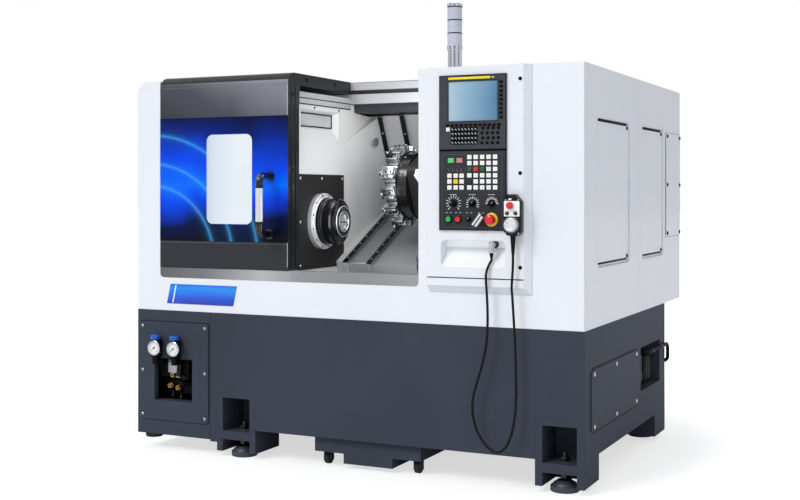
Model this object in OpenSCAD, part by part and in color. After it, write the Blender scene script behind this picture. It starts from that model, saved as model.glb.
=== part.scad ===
// Slant-bed turning lathe with a sliding door, an indexing turret and a hand pendant.
// Millimetres, +Z up, +Y towards the back, origin on the floor under the machine's middle.

/* [Overall] */
// Width of the enclosure
body_w = 2120; // [2060:5:2200]
// Depth of the white enclosure
body_d = 1660; // [1620:5:1800]
// Depth of the dark base
base_d = 1330; // [1310:5:1380]
// Height of the enclosure's roof
body_h = 1675; // [1660:1:1740]
// Height where the enclosure meets the base
split_z = 636; // [620:1:650]

/* [Door and front] */
// Width of the sliding door
door_w = 673; // [640:1:690]
// Thickness of the door's front
door_t = 95; // [70:1:98]
// Depth of the door's roof
door_roof_d = 580; // [500:5:584]
// Rise of the door's roof over the enclosure
door_rise = 18; // [12:1:30]
// Reach of the door handle in front of the enclosure
handle_out = 104; // [100:1:130]
// Width of the column left of the door
column_w = 125; // [110:1:135]
// Width from the opening to the right side
right_w = 701; // [680:1:715]
// Top of the apron under the door
apron_z = 785; // [770:1:790]

/* [Base] */
// Width of the service cabinet
cabinet_w = 398; // [380:1:410]
// Width of one leg
leg_w = 200; // [185:1:220]
// Depth of one leg
leg_d = 200; // [185:1:220]
// Height of the base's lower edge
skirt_z = 128; // [126:1:140]
// Height of the legs' lower edge
leg_z = 25; // [18:1:32]
// Width of the coolant tank
tank_w = 499; // [440:1:520]
// Pull-out wheel radius
wheel_r = 28; // [22:1:29]

/* [Spindle] */
// Depth of the spindle axis behind the front
spindle_d = 310; // [300:1:315]
// Height of the spindle axis
spindle_z = 1040; // [1034:1:1046]
// Slant of the bed from level
slant = 26; // [25:1:27]
// Radius of the collet chuck
chuck_r = 103; // [90:1:108]
// Radius of the bar hole
bar_r = 31; // [22:1:36]

/* [Turret] */
// Radius of the turret disc
disc_r = 165; // [150:1:170]
// Reach of the tools from the turret axis
tool_reach = 205; // [195:1:210]
// Number of tool stations
stations = 12; // [8:1:12]
// Distance of the turret axis from the spindle axis
turret_s = 372; // [365:1:385]

/* [Console] */
// Width of the console's raised face
console_w = 414; // [400:1:420]
// Height of the console's lower edge
console_z = 797; // [790:1:800]
// How far the console stands proud
console_out = 30; // [24:1:34]
// Width of the display and operator panels
panel_w = 287; // [270:1:290]
// Height of the signal tower
tower_h = 286; // [240:1:320]
// Radius of the signal tower
tower_r = 32; // [26:1:36]

/* [Hidden] */
$fn = 64;

// Common small values
sheet = 4;
over = 5;
quarter = 90;
run_gap = 0.05;
fit_gap = 0.5;
touch = 0.3;

// Layout across the front
half_w = body_w / 2;
side_out = 18;
centre_d = (body_d - handle_out) / 2;
open_x = column_w - half_w;
jamb_x = half_w - right_w;
door_gap = 2;
door_x = open_x + door_gap;
door_right = door_x + door_w;
door_top = body_h + door_rise;
sill_h = 47;
sill_top = apron_z + sill_h;
door_clear = 3;
door_low = sill_top + door_clear;
door_roof_t = 54;
door_round = 52;
door_skin = 4;
wall_lap = 10;
wall_x = door_right - wall_lap;
column_round = 55;
bar_port_r = 48;
front_t = 30;

// Legs and feet
base_x = cabinet_w - half_w;
leg_inset = 36;
leg_wall = 30;
shelf_low = 78;
shelf_top = 116;
window_top = 262;
leg_top = window_top + leg_wall;
legs_x = [base_x + leg_inset, half_w - leg_w];
pocket_d = leg_d - leg_wall;
foot_in = 70;
pad_r = 57;
pad_h = 44;
bolt_r = 12;
bolt_top = 152;
nut_r = 20;
nut_h = 18;
cabinet_foot_r = 40;
cabinet_foot_z = 46;
cabinet_foot_in = [49, 60];
strip_z = 62;

// Service cabinet
cabinet_d = base_d;
cabinet_z = 70;
cabinet_gap = 2;
cabinet_x = [-half_w, base_x - cabinet_gap];
cover_in = 12;
cover_low = 136;
cover_top = 584;
cover_round = 16;
cut_in = [96, -93];
cut_x = cabinet_x + cut_in;
cut_z = [226, 418];
cut_round = 3;
gauge_in = [118, 222];
gauge_x = [for (g = gauge_in) g - half_w];
gauge_shift = 17;
gauge_z = 470;
gauge_r = 33;
gauge_d = [-64, -38];
gauge_stem_r = 7;
reg_half = 24;
reg_d = [-34, -6];
reg_z = [424, 500];
reg_arm_half = 13;
reg_arm_z = [392, 412];
reg_knob_r = 21;
reg_knob_d = -27;
reg_knob_z = [504, 526];
reg_neck_r = 10;
manifold_in = [88, 262];
manifold_x = [for (m = manifold_in) m - half_w];
manifold_d = [30, 90];
manifold_z = [330, 412];
port_block_z = [250, 312];
port_block_d = [60, 110];
port_in = [160, 203];
port_x = [for (q = port_in) q - half_w];
port_z = [290, 283];
feed_port_in = [174, 206];
feed_port_z = 338;
port_r = 13;
port_tip_r = 9;
port_d = [22, 34, 60];

// Right side of the base
side_cover_d = [84, 815];
side_cover_z = [230, 474];
side_cover_round = 26;
lube_d = [866, 1225];
lube_z = [277, 472];
lube_deep = 200;
lube_plate = [20, 20];
pump_d_share = [0.08, 0.4];
pump_z_share = [0.08, 0.77];
lube_tank_d_share = [0.46, 0.92];
lube_tank_z_share = [0.08, 0.69];
pump_d = [for (f = pump_d_share) lube_d[0] + f * (lube_d[1] - lube_d[0])];
pump_z = [for (f = pump_z_share) lube_z[0] + f * (lube_z[1] - lube_z[0])];
lube_tank_d = [for (f = lube_tank_d_share) lube_d[0] + f * (lube_d[1] - lube_d[0])];
lube_tank_z = [for (f = lube_tank_z_share) lube_z[0] + f * (lube_z[1] - lube_z[0])];
lube_face = 26;
cap_r = 18;
cap_h = 20;
pipe_r = 8.5;
pipe_x = half_w + side_out - pipe_r;
pipe_z_share = 0.835;
pipe_z = lube_z[0] + pipe_z_share * (lube_z[1] - lube_z[0]);
pipe_bend = 30;
pipe_out = 21;
pipe_back = base_d + pipe_out - pipe_bend;
pipe_drop = 55;
pipe_in = 40;

// Bed, carriage and covers in the slanted frame: x, s up the slant, n square to it
bed_left_in = 420;
bed_right_in = 160;
bed_x = [bed_left_in - half_w, half_w - bed_right_in];
bed_s = [40, 790];
bed_top = -385;
bed_deep = 500;
bed_front_d = 300;
bed_back_in = 40;
bed_d = [bed_front_d, base_d - bed_back_in];
way_s = [110, 600];
way_w = 70;
way_h = 40;
way_gap = 0.1;
fixed_level = -235;
level_step = 10;
front_s = 42;
back_s = 670;
lip_h = 90;
back_top = 230;
fixed_cover_w = 60;
middle_show = 115;
tuck = 120;
wiper_w = 22;
wiper_t = 4;
cover_right = 700;
saddle_x = [130, 400];
saddle_gap = 4;
saddle_low = bed_top + saddle_gap;
saddle_top = -215;
saddle_back = 760;
rail_x = [165, 325];
rail_w = 40;
rail_h = 30;
x_motor_s = [760, 900];
x_motor_x = [195, 325];
x_motor_n = [-381, -262];

// Headstock and spindle
head_behind = [370, 120];
head_x = [for (b = head_behind) wall_x - b];
head_s = [-130, 260];
head_n = [bed_top, 165];
barrel_r = 125;
shaft_r = 60;
shaft_behind = 490;
shaft_back = wall_x - shaft_behind;
cap_out_r = 127;
cap_reach = [-10, 30];
cap_x = [for (c = cap_reach) wall_x + c];
chuck_reach = [32, 102];
chuck_back = wall_x + chuck_reach[0];
chuck_front = wall_x + chuck_reach[1];
collet_r = 70;
collet_out = 16;
collet_front = chuck_front + collet_out;
nose_groove = 6;
bolt_circle_r = 86;
nose_bolts = 6;
nose_bolt_r = 8;
nose_bolt_deep = 10;
pulley_r = 110;
pulley_behind = [470, 420];
pulley_x = [for (b = pulley_behind) wall_x - b];
motor_d = 690;
motor_z = 800;
motor_half = 118;
motor_side = 40;
motor_gap = 22;
motor_x = [motor_side - half_w, pulley_x[0] - motor_gap];
motor_foot_t = 40;
motor_pulley_r = 80;
motor_shaft_r = 19;
belt_t = 7;
belt_lift = 1;
plate_half = 212;
plate_hole_r = 132;
wall_front = 105;
wall_low = 700;
wall_top = 1617;
crease_s = 360;
lamp_d = [126, 489];
lamp_z = [1403, 1543];
lamp_deep = 26;
lamp_back_share = 0.89;
lamp_z_shares = [0.45, 0.9];
lamp_rim = 4;

// Turret
disc_x = [-30, 70];
lands_x = 22;
flange_r = 155;
turret_n = 0;
hub_r = 62;
hub_h = 10;
index_r = 50;
index_x = 160;
holder_half = 30;
holder_top = 188;
holder_x = [-42, lands_x];
block_top = 176;
cheek_x = 20;
cheek_in = 13;
shank_half = 11;
wedge_x = [-12, 16];
wedge_half = 12;
wedge_top = 185;
clamp_screw_r = 5;
clamp_screw_h = 3;
sleeve_x = [-30, 18];
sleeve_top = 192;
bar_collar_r = 20;
bar_collar_h = 6;
bar_tool_r = 13;
bar_tool_x = -60;
slide_x = [150, 392];
slide_s = [-160, 120];
slide_n = [-212, -118];
housing_x = [72.4, 395];
housing_half = 112;
housing_n = [-118, 138];
housing_round = 30;

// Chamber and roof
right_wall_x = 620;
liner_d = 64;
duct_d = [642, 780];
duct_z = [1552, 1606];
chute_x = [-130, 330];
chute_d = [112, 350];
track_d = [590, 640];
track_z = [1590, 1636, 1656, 1690];
track_web_d = 612;
seam_d = 819;
sill_round = 19;
sill_d = [6, 62];
chute_face = sill_d[1] + touch;

// Access doors on the right side sit in recessed frames
// The cover behind them and the left door lie on the sheet
access_d = [[178, 672], [890, 1297]];
access_z = [868, 1472];
access_round = 14;
access_deep = 16;
access_wall = 3;
leaf_gap_d = [8, -12];
leaf_gap_z = [22, -16];
leaf_low = 4;
leaf_screw_in = [34, 8];
side_plate_d = [1348, body_d - access_round];
side_plate_z = [956, 1460];
side_plate_t = 5;
left_door_d = [420, 940];
left_door_z = [800, 1450];
left_door_t = 15;
latch_size = [34, 60];
latch_in = 16;
latch_share = [0.12, 0.78];

// Console
console_in = 51;
console_x = [jamb_x + console_in, jamb_x + console_in + console_w];
console_bevel = 27;
console_box_in = 20;
console_box_d = 60;
console_seam_z = [827, 831];
console_seam_deep = 6;
panel_in = 58;
panel_x = [console_x[0] + panel_in, console_x[0] + panel_in + panel_w];
face_d = -console_out;
panel_t = 8;
panel_face = face_d - panel_t;
lcd_z = [1344, 1640];
operator_z = [1020, 1336];
screen_in = [40, -37];
screen_x = panel_x + screen_in;
screen_z = [1456, 1614];
screen_deep = 4;
pocket_in = [5, -7];
pocket_x = panel_x + pocket_in;
pocket_z = [873, 950, 980];
pocket_back = 30;
pocket_round = 20;
hook_half = 15;
hook_z = [1096, 1140];
hook_d = [-36, -30];
soft_key = [12, 9, 3];
soft_rows_share = [0.42, 0.479, 0.537, 0.596, 0.654, 0.713, 0.771, 0.83, 0.888];
soft_cols_share = [0.12, 0.19, 0.26, 0.33, 0.4, 0.47, 0.54, 0.61, 0.68, 0.75, 0.82, 0.89];
soft_col_share = 0.925;
soft_row_share = 0.315;
home_share = [0.122, 0.245];
mdi_rows_share = [0.057, 0.119, 0.181, 0.243];
mdi_cols_share = [0.195, 0.247, 0.299, 0.351, 0.403, 0.455, 0.507, 0.559];
mdi_key = [12, 12, 3];
round_cols_share = [0.65, 0.73, 0.81, 0.89];
round_rows_share = [0.06, 0.15, 0.24];
round_key_r = 6.5;
key_size = [19.5, 16, 3];
jog_cols_share = [0.14, 0.234, 0.324];
jog_rows_share = [0.69, 0.617, 0.541];
func_cols_share = [0.44, 0.534, 0.631, 0.725, 0.822];
func_rows_share = [0.924, 0.848, 0.772, 0.693, 0.617, 0.541];
lit_cols_share = [0.164, 0.289];
lit_row_share = 0.883;
lit_size = 24;
knob_cols_share = [0.22, 0.505, 0.79];
knob_row_share = 0.34;
knob_r = 14;
knob_h = 18;
knob_bar = 7;
knob_step = 3;
knob_rise = 2;
control_row_share = 0.14;
start_share = 0.146;
hold_share = 0.289;
mode_share = 0.453;
key_share = 0.575;
stop_share = 0.79;
button_r = 11;
button_h = 9;
button_bezel = [16, 6];
mode_r = 9;
mode_h = 16;
key_plate = [5, 34, 22];
key_tilt = -38;
key_lock_r = 11;
key_lock_h = 8;
ring_r = 27;
ring_h = 7;
stop_r = 20;
stop_h = 30;
stop_stem_r = 9;
stop_gap = 8;
bore_deep = 6;

// Signal tower
tower_in = 98;
tower_x = jamb_x + tower_in;
tower_d = 150;
tower_base_h = 106;
tower_cap_h = 16;
tower_gap = 2;
lens_in = 1;
tower_colours = 3;

// Pendant, its connector and its cable
pend_out = 38;
pend_mid = panel_x[1] + pend_out;
pend_half = 35;
pend_x = [pend_mid - pend_half, pend_mid + pend_half];
pend_d = [-78, -36];
pend_z = [1003, 1150];
pend_chamfer = 14;
pend_tab = [-21, 11];
pend_tab_x = [for (t = pend_tab) pend_mid + t];
pend_tab_z = 1165;
pend_wheel_off = -3;
pend_wheel_x = pend_mid + pend_wheel_off;
pend_wheel_z = 1045;
pend_wheel_r = 28;
pend_wheel_h = 15;
pend_hub_r = 10;
pend_stop_off = -6;
pend_stop_x = pend_mid + pend_stop_off;
pend_stop_z = 1121;
pend_stop_r = 14;
pend_stop_h = 16;
pend_knob_off = [-20, 15];
pend_knob_x = [for (k = pend_knob_off) pend_mid + k];
pend_knob_z = 1091;
pend_knob_r = 8;
pend_knob_h = 8;
relief_r = [9, 6.5];
relief_z = [1003, 955];
relief_x = pend_wheel_x;
relief_d = -57;
conn_in = 67;
conn_x = panel_x[1] - conn_in;
conn_d = -24;
conn_z = [914, 932, 976];
conn_r = 12;
conn_neck_r = 8.5;
conn_tip_r = 6;
conn_stem_r = 10;
conn_nut_r = 14;
conn_nut_z = 963;
conn_nut_d = [4, 24];
cord_r = 5;
cord_sides = 10;
// Route of the cable from the connector to the pendant: across from the panels' right edge, depth, height
cord_route = [
    [-67, -24, 914], [-67, -24, 904], [-71, -36, 889], [-81, -46, 853], [-81, -48, 822], [-78, -49, 783],
    [-74, -50, 710], [-74, -50, 638], [-79, -50, 574], [-95, -50, 497], [-119, -50, 418], [-136, -50, 353],
    [-138, -50, 307], [-126, -50, 249], [-100, -50, 197], [-66, -50, 162], [-34, -50, 151], [-3, -50, 168],
    [21, -50, 212], [37, -50, 277], [44, -50, 344], [45, -50, 433], [43, -50, 523], [40, -51, 612],
    [36, -52, 679], [31, -54, 764], [29, -55, 796], [31, -56, 832], [34, -57, 870], [35, -57, 915],
    [35, -57, 955]];
cord_points = [for (c = cord_route) [panel_x[1] + c[0], c[1], c[2]]];

// Door details
window_in = [420, 182];
window_x = [for (w = window_in) door_right - w];
window_z = [1031, 1428];
window_round = 30;
window_t = 6;
art_z = [954, 1505];
art_t = 2;
handle_in = 90;
handle_x = door_right - handle_in;
handle_z = [990, 1243];
handle_r = 15;
handle_foot_r = 22;
handle_foot_h = 8;
roller_in = 80;
roller_r = 18;
roller_d = [28, 52];

// Tank
tank_lap = 14;
tank_x = [chute_x[0] - tank_lap, chute_x[0] - tank_lap + tank_w];
tank_d = [30, 1250];
tank_z = [62, 122];
well_x_share = [0.28, 0.74];
well_low = 20;
wheel_in = 36;
wheel_w = 26;
wheel_ends = [90, 1180];
fork_t = 4;
fork_half = 13;
axle_r = 5;
axle_gap = 1;

// Fasteners
screw_r = 7;
screw_h = 4;
side_screw_h = 3;
cabinet_screw_in = [30, 26];
cover_screw_in = 22;
console_screw_in = 14;
console_screw_z = [877, 1247, 1617];
side_cover_screw_in = [40, 18];
plate_screw_in = 16;
head_screw_in = 18;

// Plain shapes placed by their low and high limits
module box(x, d, z) {
    translate([x[0], d[0], z[0]]) cube([x[1] - x[0], d[1] - d[0], z[1] - z[0]]);
}

module rod_x(x, d, z, r) {
    translate([x[0], d, z]) rotate([0, quarter, 0]) cylinder(h = x[1] - x[0], r = r);
}

module rod_y(x, d, z, r) {
    translate([x, d[0], z]) rotate([-quarter, 0, 0]) cylinder(h = d[1] - d[0], r = r);
}

module rod_z(x, d, z, r) {
    translate([x, d, z[0]]) cylinder(h = z[1] - z[0], r = r);
}

// Flat outline with rounded corners, low and high limits in both directions
module round_outline(x, z, r) {
    translate([x[0] + r, z[0]]) square([x[1] - x[0] - 2 * r, z[1] - z[0]]);
    translate([x[0], z[0] + r]) square([x[1] - x[0], z[1] - z[0] - 2 * r]);
    for (px = [x[0] + r, x[1] - r], pz = [z[0] + r, z[1] - r]) translate([px, pz]) circle(r = r);
}

// Outline with only its lower corners rounded
module cup_outline(x, z, r) {
    translate([x[0] + r, z[0]]) square([x[1] - x[0] - 2 * r, z[1] - z[0]]);
    translate([x[0], z[0] + r]) square([x[1] - x[0], z[1] - z[0] - r]);
    for (px = [x[0] + r, x[1] - r]) translate([px, z[0] + r]) circle(r = r);
}

// Stands an outline up facing the front, or facing the side
module front_plate(d) {
    translate([0, d[1], 0]) rotate([quarter, 0, 0]) linear_extrude(height = d[1] - d[0]) children();
}

module side_plate(x) {
    translate([x[0], 0, 0]) rotate([quarter, 0, quarter]) linear_extrude(height = x[1] - x[0]) children();
}

// Moves the machine's coordinates so that its footprint is centred
module place() {
    translate([0, -centre_d, 0]) children();
}

// Slanted frame of the bed, centred on the spindle axis
module slanted() {
    translate([0, spindle_d, spindle_z]) rotate([slant, 0, 0]) children();
}

function on_slant(s, n) =
    [spindle_d + s * cos(slant) - n * sin(slant), spindle_z + s * sin(slant) + n * cos(slant)];

// Room for the four legs in the lower corners of the base
module leg_room() {
    for (lx = legs_x) {
        right = lx + leg_w < half_w ? lx + leg_w : half_w + over;
        box([lx, right], [-over, leg_d], [skirt_z - over, leg_top]);
        box([lx, right], [base_d - leg_d, base_d + over], [skirt_z - over, leg_top]);
    }
}

// Recess of the lubricator in the base and the leg below it
module lube_room(past) {
    box([half_w - lube_deep - past, half_w + over], lube_d, lube_z);
}

module bed_base() color("#454a56") place() difference() {
    box([base_x, half_w], [0, seam_d - door_gap / 2], [skirt_z, split_z]);
    leg_room();
    box(chute_x, chute_d, [skirt_z - over, split_z + over]);
}

module rear_base() color("#454a56") place() difference() {
    box([base_x, half_w], [seam_d + door_gap / 2, base_d], [skirt_z, split_z]);
    leg_room();
    lube_room(0);
}

// Hollow leg at the front, with a window over the shelf and the foot below it
module base_leg() {
    difference() {
        box([0, leg_w], [0, leg_d], [leg_z, leg_top]);
        box([leg_wall, leg_w - leg_wall], [-over, pocket_d], [shelf_top, window_top]);
        box([leg_wall, leg_w - leg_wall], [-over, pocket_d], [leg_z - over, shelf_low]);
        rod_z(leg_w / 2, foot_in, [shelf_low - over, shelf_top + over], bolt_r + touch);
    }
}

// Four legs, with the short apron that closes the base down to the cabinet's foot
module base_legs() color("#454a56") place() difference() {
    union() {
        for (lx = legs_x) {
            translate([lx, 0, 0]) base_leg();
            translate([lx, base_d, 0]) mirror([0, 1, 0]) base_leg();
        }
        for (d = [[0, leg_d], [base_d - leg_d, base_d]]) {
            box([base_x, legs_x[0] + over], d, [strip_z, skirt_z]);
        }
    }
    lube_room(over);
}

module service_cabinet() color("#454a56") place() difference() {
    box(cabinet_x, [0, cabinet_d], [cabinet_z, split_z]);
    box([cabinet_x[0] + sheet, cabinet_x[1] - sheet], [sheet, cabinet_d - sheet],
        [cabinet_z + sheet, split_z - sheet]);
    box([cabinet_x[0] + cover_in + sheet, cabinet_x[1] - cover_in - sheet], [-over, sheet + over],
        [cover_low + cover_in, cover_top - cover_in]);
}

// Bolted covers of the base: service cover at the front, side cover at the right
module base_covers() color("#4b505c") place() {
    front_plate([-sheet, 0]) difference() {
        round_outline([cabinet_x[0] + cover_in, cabinet_x[1] - cover_in + over],
            [cover_low, cover_top], cover_round);
        round_outline(cut_x, cut_z, cut_round);
    }
    side_plate([half_w, half_w + sheet]) round_outline(side_cover_d, side_cover_z, side_cover_round);
}

module air_manifold() color("#b9bec6") place() {
    box(manifold_x, manifold_d, manifold_z);
    box(manifold_x, port_block_d, port_block_z);
    box([manifold_x[0], manifold_x[0] + reg_half], port_block_d, [port_block_z[0], manifold_z[0] + over]);
    box([cabinet_x[0] + sheet, manifold_x[0] + over], port_block_d, port_block_z);
    for (i = [0:len(port_x) - 1]) {
        rod_y(port_x[i], [port_d[1], port_d[2] + over], port_z[i], port_r);
        rod_y(port_x[i], [port_d[0], port_d[1] + over], port_z[i], port_tip_r);
    }
    for (q = feed_port_in) {
        rod_y(q - half_w, [port_d[0], manifold_d[0] + over], feed_port_z, port_tip_r);
    }
    for (gx = gauge_x) {
        box([gx - reg_half, gx + reg_half], reg_d, reg_z);
        box([gx - reg_arm_half, gx + reg_arm_half], reg_d, [reg_arm_z[0], reg_z[0] + over]);
        box([gx - reg_arm_half, gx + reg_arm_half], [reg_d[1] - over, manifold_d[0] + over], reg_arm_z);
        rod_z(gx, reg_knob_d, [reg_z[1] - over, reg_knob_z[1] - over], reg_neck_r);
        rod_z(gx, reg_knob_d, reg_knob_z, reg_knob_r);
    }
}

module pressure_gauges() color("#c9ccd2") place() for (gx = [for (g = gauge_x) g + gauge_shift]) {
    difference() {
        rod_y(gx, gauge_d, gauge_z, gauge_r);
        rod_y(gx, [gauge_d[0] - over, gauge_d[0] + sheet], gauge_z, gauge_r - sheet);
    }
    rod_y(gx, [gauge_d[1] - over, reg_d[0]], gauge_z, gauge_stem_r);
    rod_y(gx, [gauge_d[0] + sheet / 2, gauge_d[0] + sheet + over], gauge_z, sheet);
}

module levelling_feet() color("#8d9096") place() {
    for (lx = legs_x, fd = [foot_in, base_d - foot_in]) translate([lx + leg_w / 2, fd, 0]) {
        cylinder(h = pad_h / 2, r = pad_r);
        translate([0, 0, pad_h / 2]) cylinder(h = pad_h / 2, r1 = pad_r, r2 = pad_r / 2);
        cylinder(h = bolt_top, r = bolt_r);
        translate([0, 0, shelf_top]) cylinder(h = nut_h, r = nut_r, $fn = 6);
    }
    for (fd = [cabinet_foot_in[1], cabinet_d - cabinet_foot_in[1]]) {
        rod_z(cabinet_x[0] + cabinet_foot_in[0], fd, [cabinet_foot_z, cabinet_z], cabinet_foot_r);
    }
}

module lube_unit() color("#22242a") place() {
    box([half_w - lube_deep, half_w - lube_deep + lube_plate[0]], lube_d + [lube_plate[1], -lube_plate[1]],
        lube_z + [lube_plate[1] / 2, -lube_plate[1]]);
    box([half_w - lube_deep, half_w - lube_face], pump_d, pump_z);
    box([half_w - lube_deep, half_w - lube_face], lube_tank_d, lube_tank_z);
    rod_z(half_w - lube_deep / 2, (lube_tank_d[0] + lube_tank_d[1]) / 2,
        [lube_tank_z[1] - over, lube_tank_z[1] + cap_h], cap_r);
    rod_z(half_w - lube_deep / 2, (pump_d[0] + pump_d[1]) / 2, [pump_z[1] - over, pipe_z + pipe_r], cap_r);
    rod_x([half_w - lube_deep / 2, pipe_x], (pump_d[0] + pump_d[1]) / 2, pipe_z, pipe_r);
    translate([pipe_x, (pump_d[0] + pump_d[1]) / 2, pipe_z]) sphere(r = pipe_r);
    rod_y(pipe_x, [(pump_d[0] + pump_d[1]) / 2, pipe_back], pipe_z, pipe_r);
    translate([pipe_x, pipe_back, pipe_z - pipe_bend]) rotate([0, -quarter, 0])
        rotate_extrude(angle = quarter) {
        translate([pipe_bend, 0]) circle(r = pipe_r);
    }
    rod_z(pipe_x, pipe_back + pipe_bend, [pipe_z - pipe_bend - pipe_drop, pipe_z - pipe_bend], pipe_r);
    translate([pipe_x, pipe_back + pipe_bend, pipe_z - pipe_bend - pipe_drop]) sphere(r = pipe_r);
    rod_x([pipe_x - pipe_in, pipe_x], pipe_back + pipe_bend, pipe_z - pipe_bend - pipe_drop, pipe_r);
    translate([pipe_x - pipe_in, pipe_back + pipe_bend, pipe_z - pipe_bend - pipe_drop]) sphere(r = pipe_r);
    rod_y(pipe_x - pipe_in, [base_d, pipe_back + pipe_bend], pipe_z - pipe_bend - pipe_drop, pipe_r);
}

module slant_bed() color("#5a6070") place() {
    intersection() {
        slanted() box(bed_x, bed_s, [bed_top - bed_deep, bed_top]);
        box(bed_x, bed_d, [split_z, spindle_z + body_h]);
    }
    slanted() for (ws = way_s) box(bed_x, [ws, ws + way_w], [bed_top - over, bed_top + way_h]);
}

module headstock() color("#c8cdd4") place() slanted() difference() {
    union() {
        box(head_x, head_s, [head_n[0] + way_h + touch, head_n[1]]);
        box(head_x, [way_s[0] + way_w + touch, head_s[1]], [head_n[0], head_n[0] + way_h + over]);
        rod_x([head_x[1] - over, cap_x[0]], 0, 0, barrel_r);
    }
    rod_x([head_x[0] - over, cap_x[0] + over], 0, 0, shaft_r + run_gap);
}

module spindle_cap() color("#d5d8dc") place() slanted() difference() {
    union() {
        rod_x(cap_x, 0, 0, cap_out_r - nose_groove);
        rod_x([cap_x[0] + sheet, cap_x[1] - nose_groove], 0, 0, cap_out_r);
    }
    rod_x([cap_x[0] - over, cap_x[1] + over], 0, 0, shaft_r + fit_gap);
}

module spindle_motor() color("#3a3d44") place() {
    rod_x(motor_x, motor_d, motor_z, motor_half);
    box([motor_x[0] + motor_foot_t, motor_x[1] - motor_foot_t],
        [motor_d - motor_half, motor_d + motor_half], [split_z, motor_z]);
}

// Outline around two pulleys with its straight runs on the common tangents
module belt_outline(lift) {
    run = sqrt(pow(motor_d - spindle_d, 2) + pow(motor_z - spindle_z, 2));
    lean = atan2(motor_z - spindle_z, motor_d - spindle_d);
    translate([spindle_d, spindle_z]) rotate(lean) hull() {
        circle(r = pulley_r + lift);
        translate([run, 0]) circle(r = motor_pulley_r + lift);
    }
}

module drive_belt() color("#1d1e21") place()
    side_plate([pulley_x[0] + over, pulley_x[1] - over]) difference() {
        belt_outline(belt_t + belt_lift);
        belt_outline(belt_lift);
    }

// Bent sheet that covers the bed: sloping floor, upright back and front lip
module way_sheet(x, step) {
    floor_n = fixed_level - step;
    slanted() {
        box(x, [front_s + step, back_s + step + sheet], [floor_n - sheet, floor_n]);
        box(x, [back_s + step, back_s + step + sheet], [floor_n - sheet, back_top]);
        box(x, [front_s + step, front_s + step + sheet], [floor_n - lip_h, floor_n]);
    }
}

// Wiper strip along the right edge of a bent sheet
module way_wiper(right, step) {
    floor_n = fixed_level - step;
    slanted() {
        box([right - wiper_w, right], [front_s + step, back_s + step],
            [floor_n - over / 2, floor_n + wiper_t]);
        box([right - wiper_w, right], [back_s + step - wiper_t, back_s + step + over / 2],
            [floor_n, back_top]);
    }
}

module wall_outline(step, low) {
    lip_foot = on_slant(front_s + step, fixed_level - step - lip_h);
    polygon([[wall_front, low], [wall_front, wall_top], [track_d[0] - touch, wall_top],
        [track_d[0] - touch, track_z[0] - touch], [track_d[1] - over, track_z[0] - touch],
        [track_d[1] - over, duct_z[0] - touch], on_slant(back_s + step, back_top),
        on_slant(back_s + step, fixed_level - step),
        on_slant(front_s + step, fixed_level - step), lip_foot, [lip_foot[0], low]]);
}

module headstock_wall() color("#d6dade") place() {
    difference() {
        side_plate([wall_x - sheet, wall_x]) wall_outline(0, wall_low);
        slanted() rod_x([wall_x - sheet - over, wall_x + over], 0, 0, plate_hole_r);
        box([wall_x - sheet - over, wall_x + over], lamp_d, lamp_z);
    }
    way_sheet([wall_x - sheet, wall_x + fixed_cover_w], 0);
    way_wiper(wall_x + fixed_cover_w, 0);
    slanted() translate([0, 0, fixed_level - over / 2]) linear_extrude(height = back_top - fixed_level) {
        polygon([[wall_x - sheet, crease_s], [wall_x + fixed_cover_w - wiper_w, back_s],
            [wall_x - sheet, back_s]]);
    }
}

module headstock_plate() color("#2a2b2f") place() difference() {
    box([wall_x, wall_x + sheet], [spindle_d - plate_half, spindle_d + plate_half],
        [spindle_z - plate_half, spindle_z + plate_half]);
    slanted() {
        rod_x([wall_x - over, wall_x + sheet + over], 0, 0, plate_hole_r);
        box([wall_x - over, wall_x + sheet + over], [front_s - over, back_s],
            [fixed_level - 2 * plate_half, fixed_level + over]);
    }
}

module work_lamp() color("#eef0f2") place() difference() {
    box([wall_x - sheet - lamp_deep, wall_x - sheet], lamp_d + [-lamp_rim, lamp_rim],
        lamp_z + [-lamp_rim, lamp_rim]);
    intersection() {
        linear_extrude(height = body_h) polygon([[wall_x, lamp_d[0]], [wall_x, lamp_d[1]],
            [wall_x - lamp_deep, lamp_d[0] + lamp_back_share * (lamp_d[1] - lamp_d[0])],
            [wall_x - lamp_deep, lamp_d[0]]]);
        front_plate([0, body_d]) polygon([[wall_x, lamp_z[0]], [wall_x, lamp_z[1]],
            [wall_x - lamp_deep, lamp_z[0] + lamp_z_shares[1] * (lamp_z[1] - lamp_z[0])],
            [wall_x - lamp_deep, lamp_z[0] + lamp_z_shares[0] * (lamp_z[1] - lamp_z[0])]]);
    }
}

module chamber_liner() color("#cfd4d9") place() {
    side_plate([right_wall_x, right_wall_x + sheet]) wall_outline(2 * level_step - over, wall_low);
    box([jamb_x + over, right_wall_x + over / 2], [liner_d, liner_d + sheet], [apron_z + over, wall_top]);
    box([jamb_x + over, jamb_x + over + sheet], [front_t + touch, liner_d + over / 2],
        [apron_z + over, wall_top]);
    box([right_wall_x, right_wall_x + sheet], [liner_d, wall_front + over], [apron_z + over, wall_top]);
    side_plate([wall_x + touch, right_wall_x + over / 2]) polygon([[chute_face, apron_z - over],
        [chute_face, sill_top - over], [chute_face + sheet, sill_top - over],
        [chute_face + sheet, apron_z - over],
        [chute_d[0], split_z], [chute_d[0] - sheet, split_z]]);
    box([wall_x + touch, right_wall_x + over / 2], duct_d, duct_z);
    box([right_wall_x, right_wall_x + sheet], duct_d, [duct_z[0] - 2 * over, duct_z[1]]);
}

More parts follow.
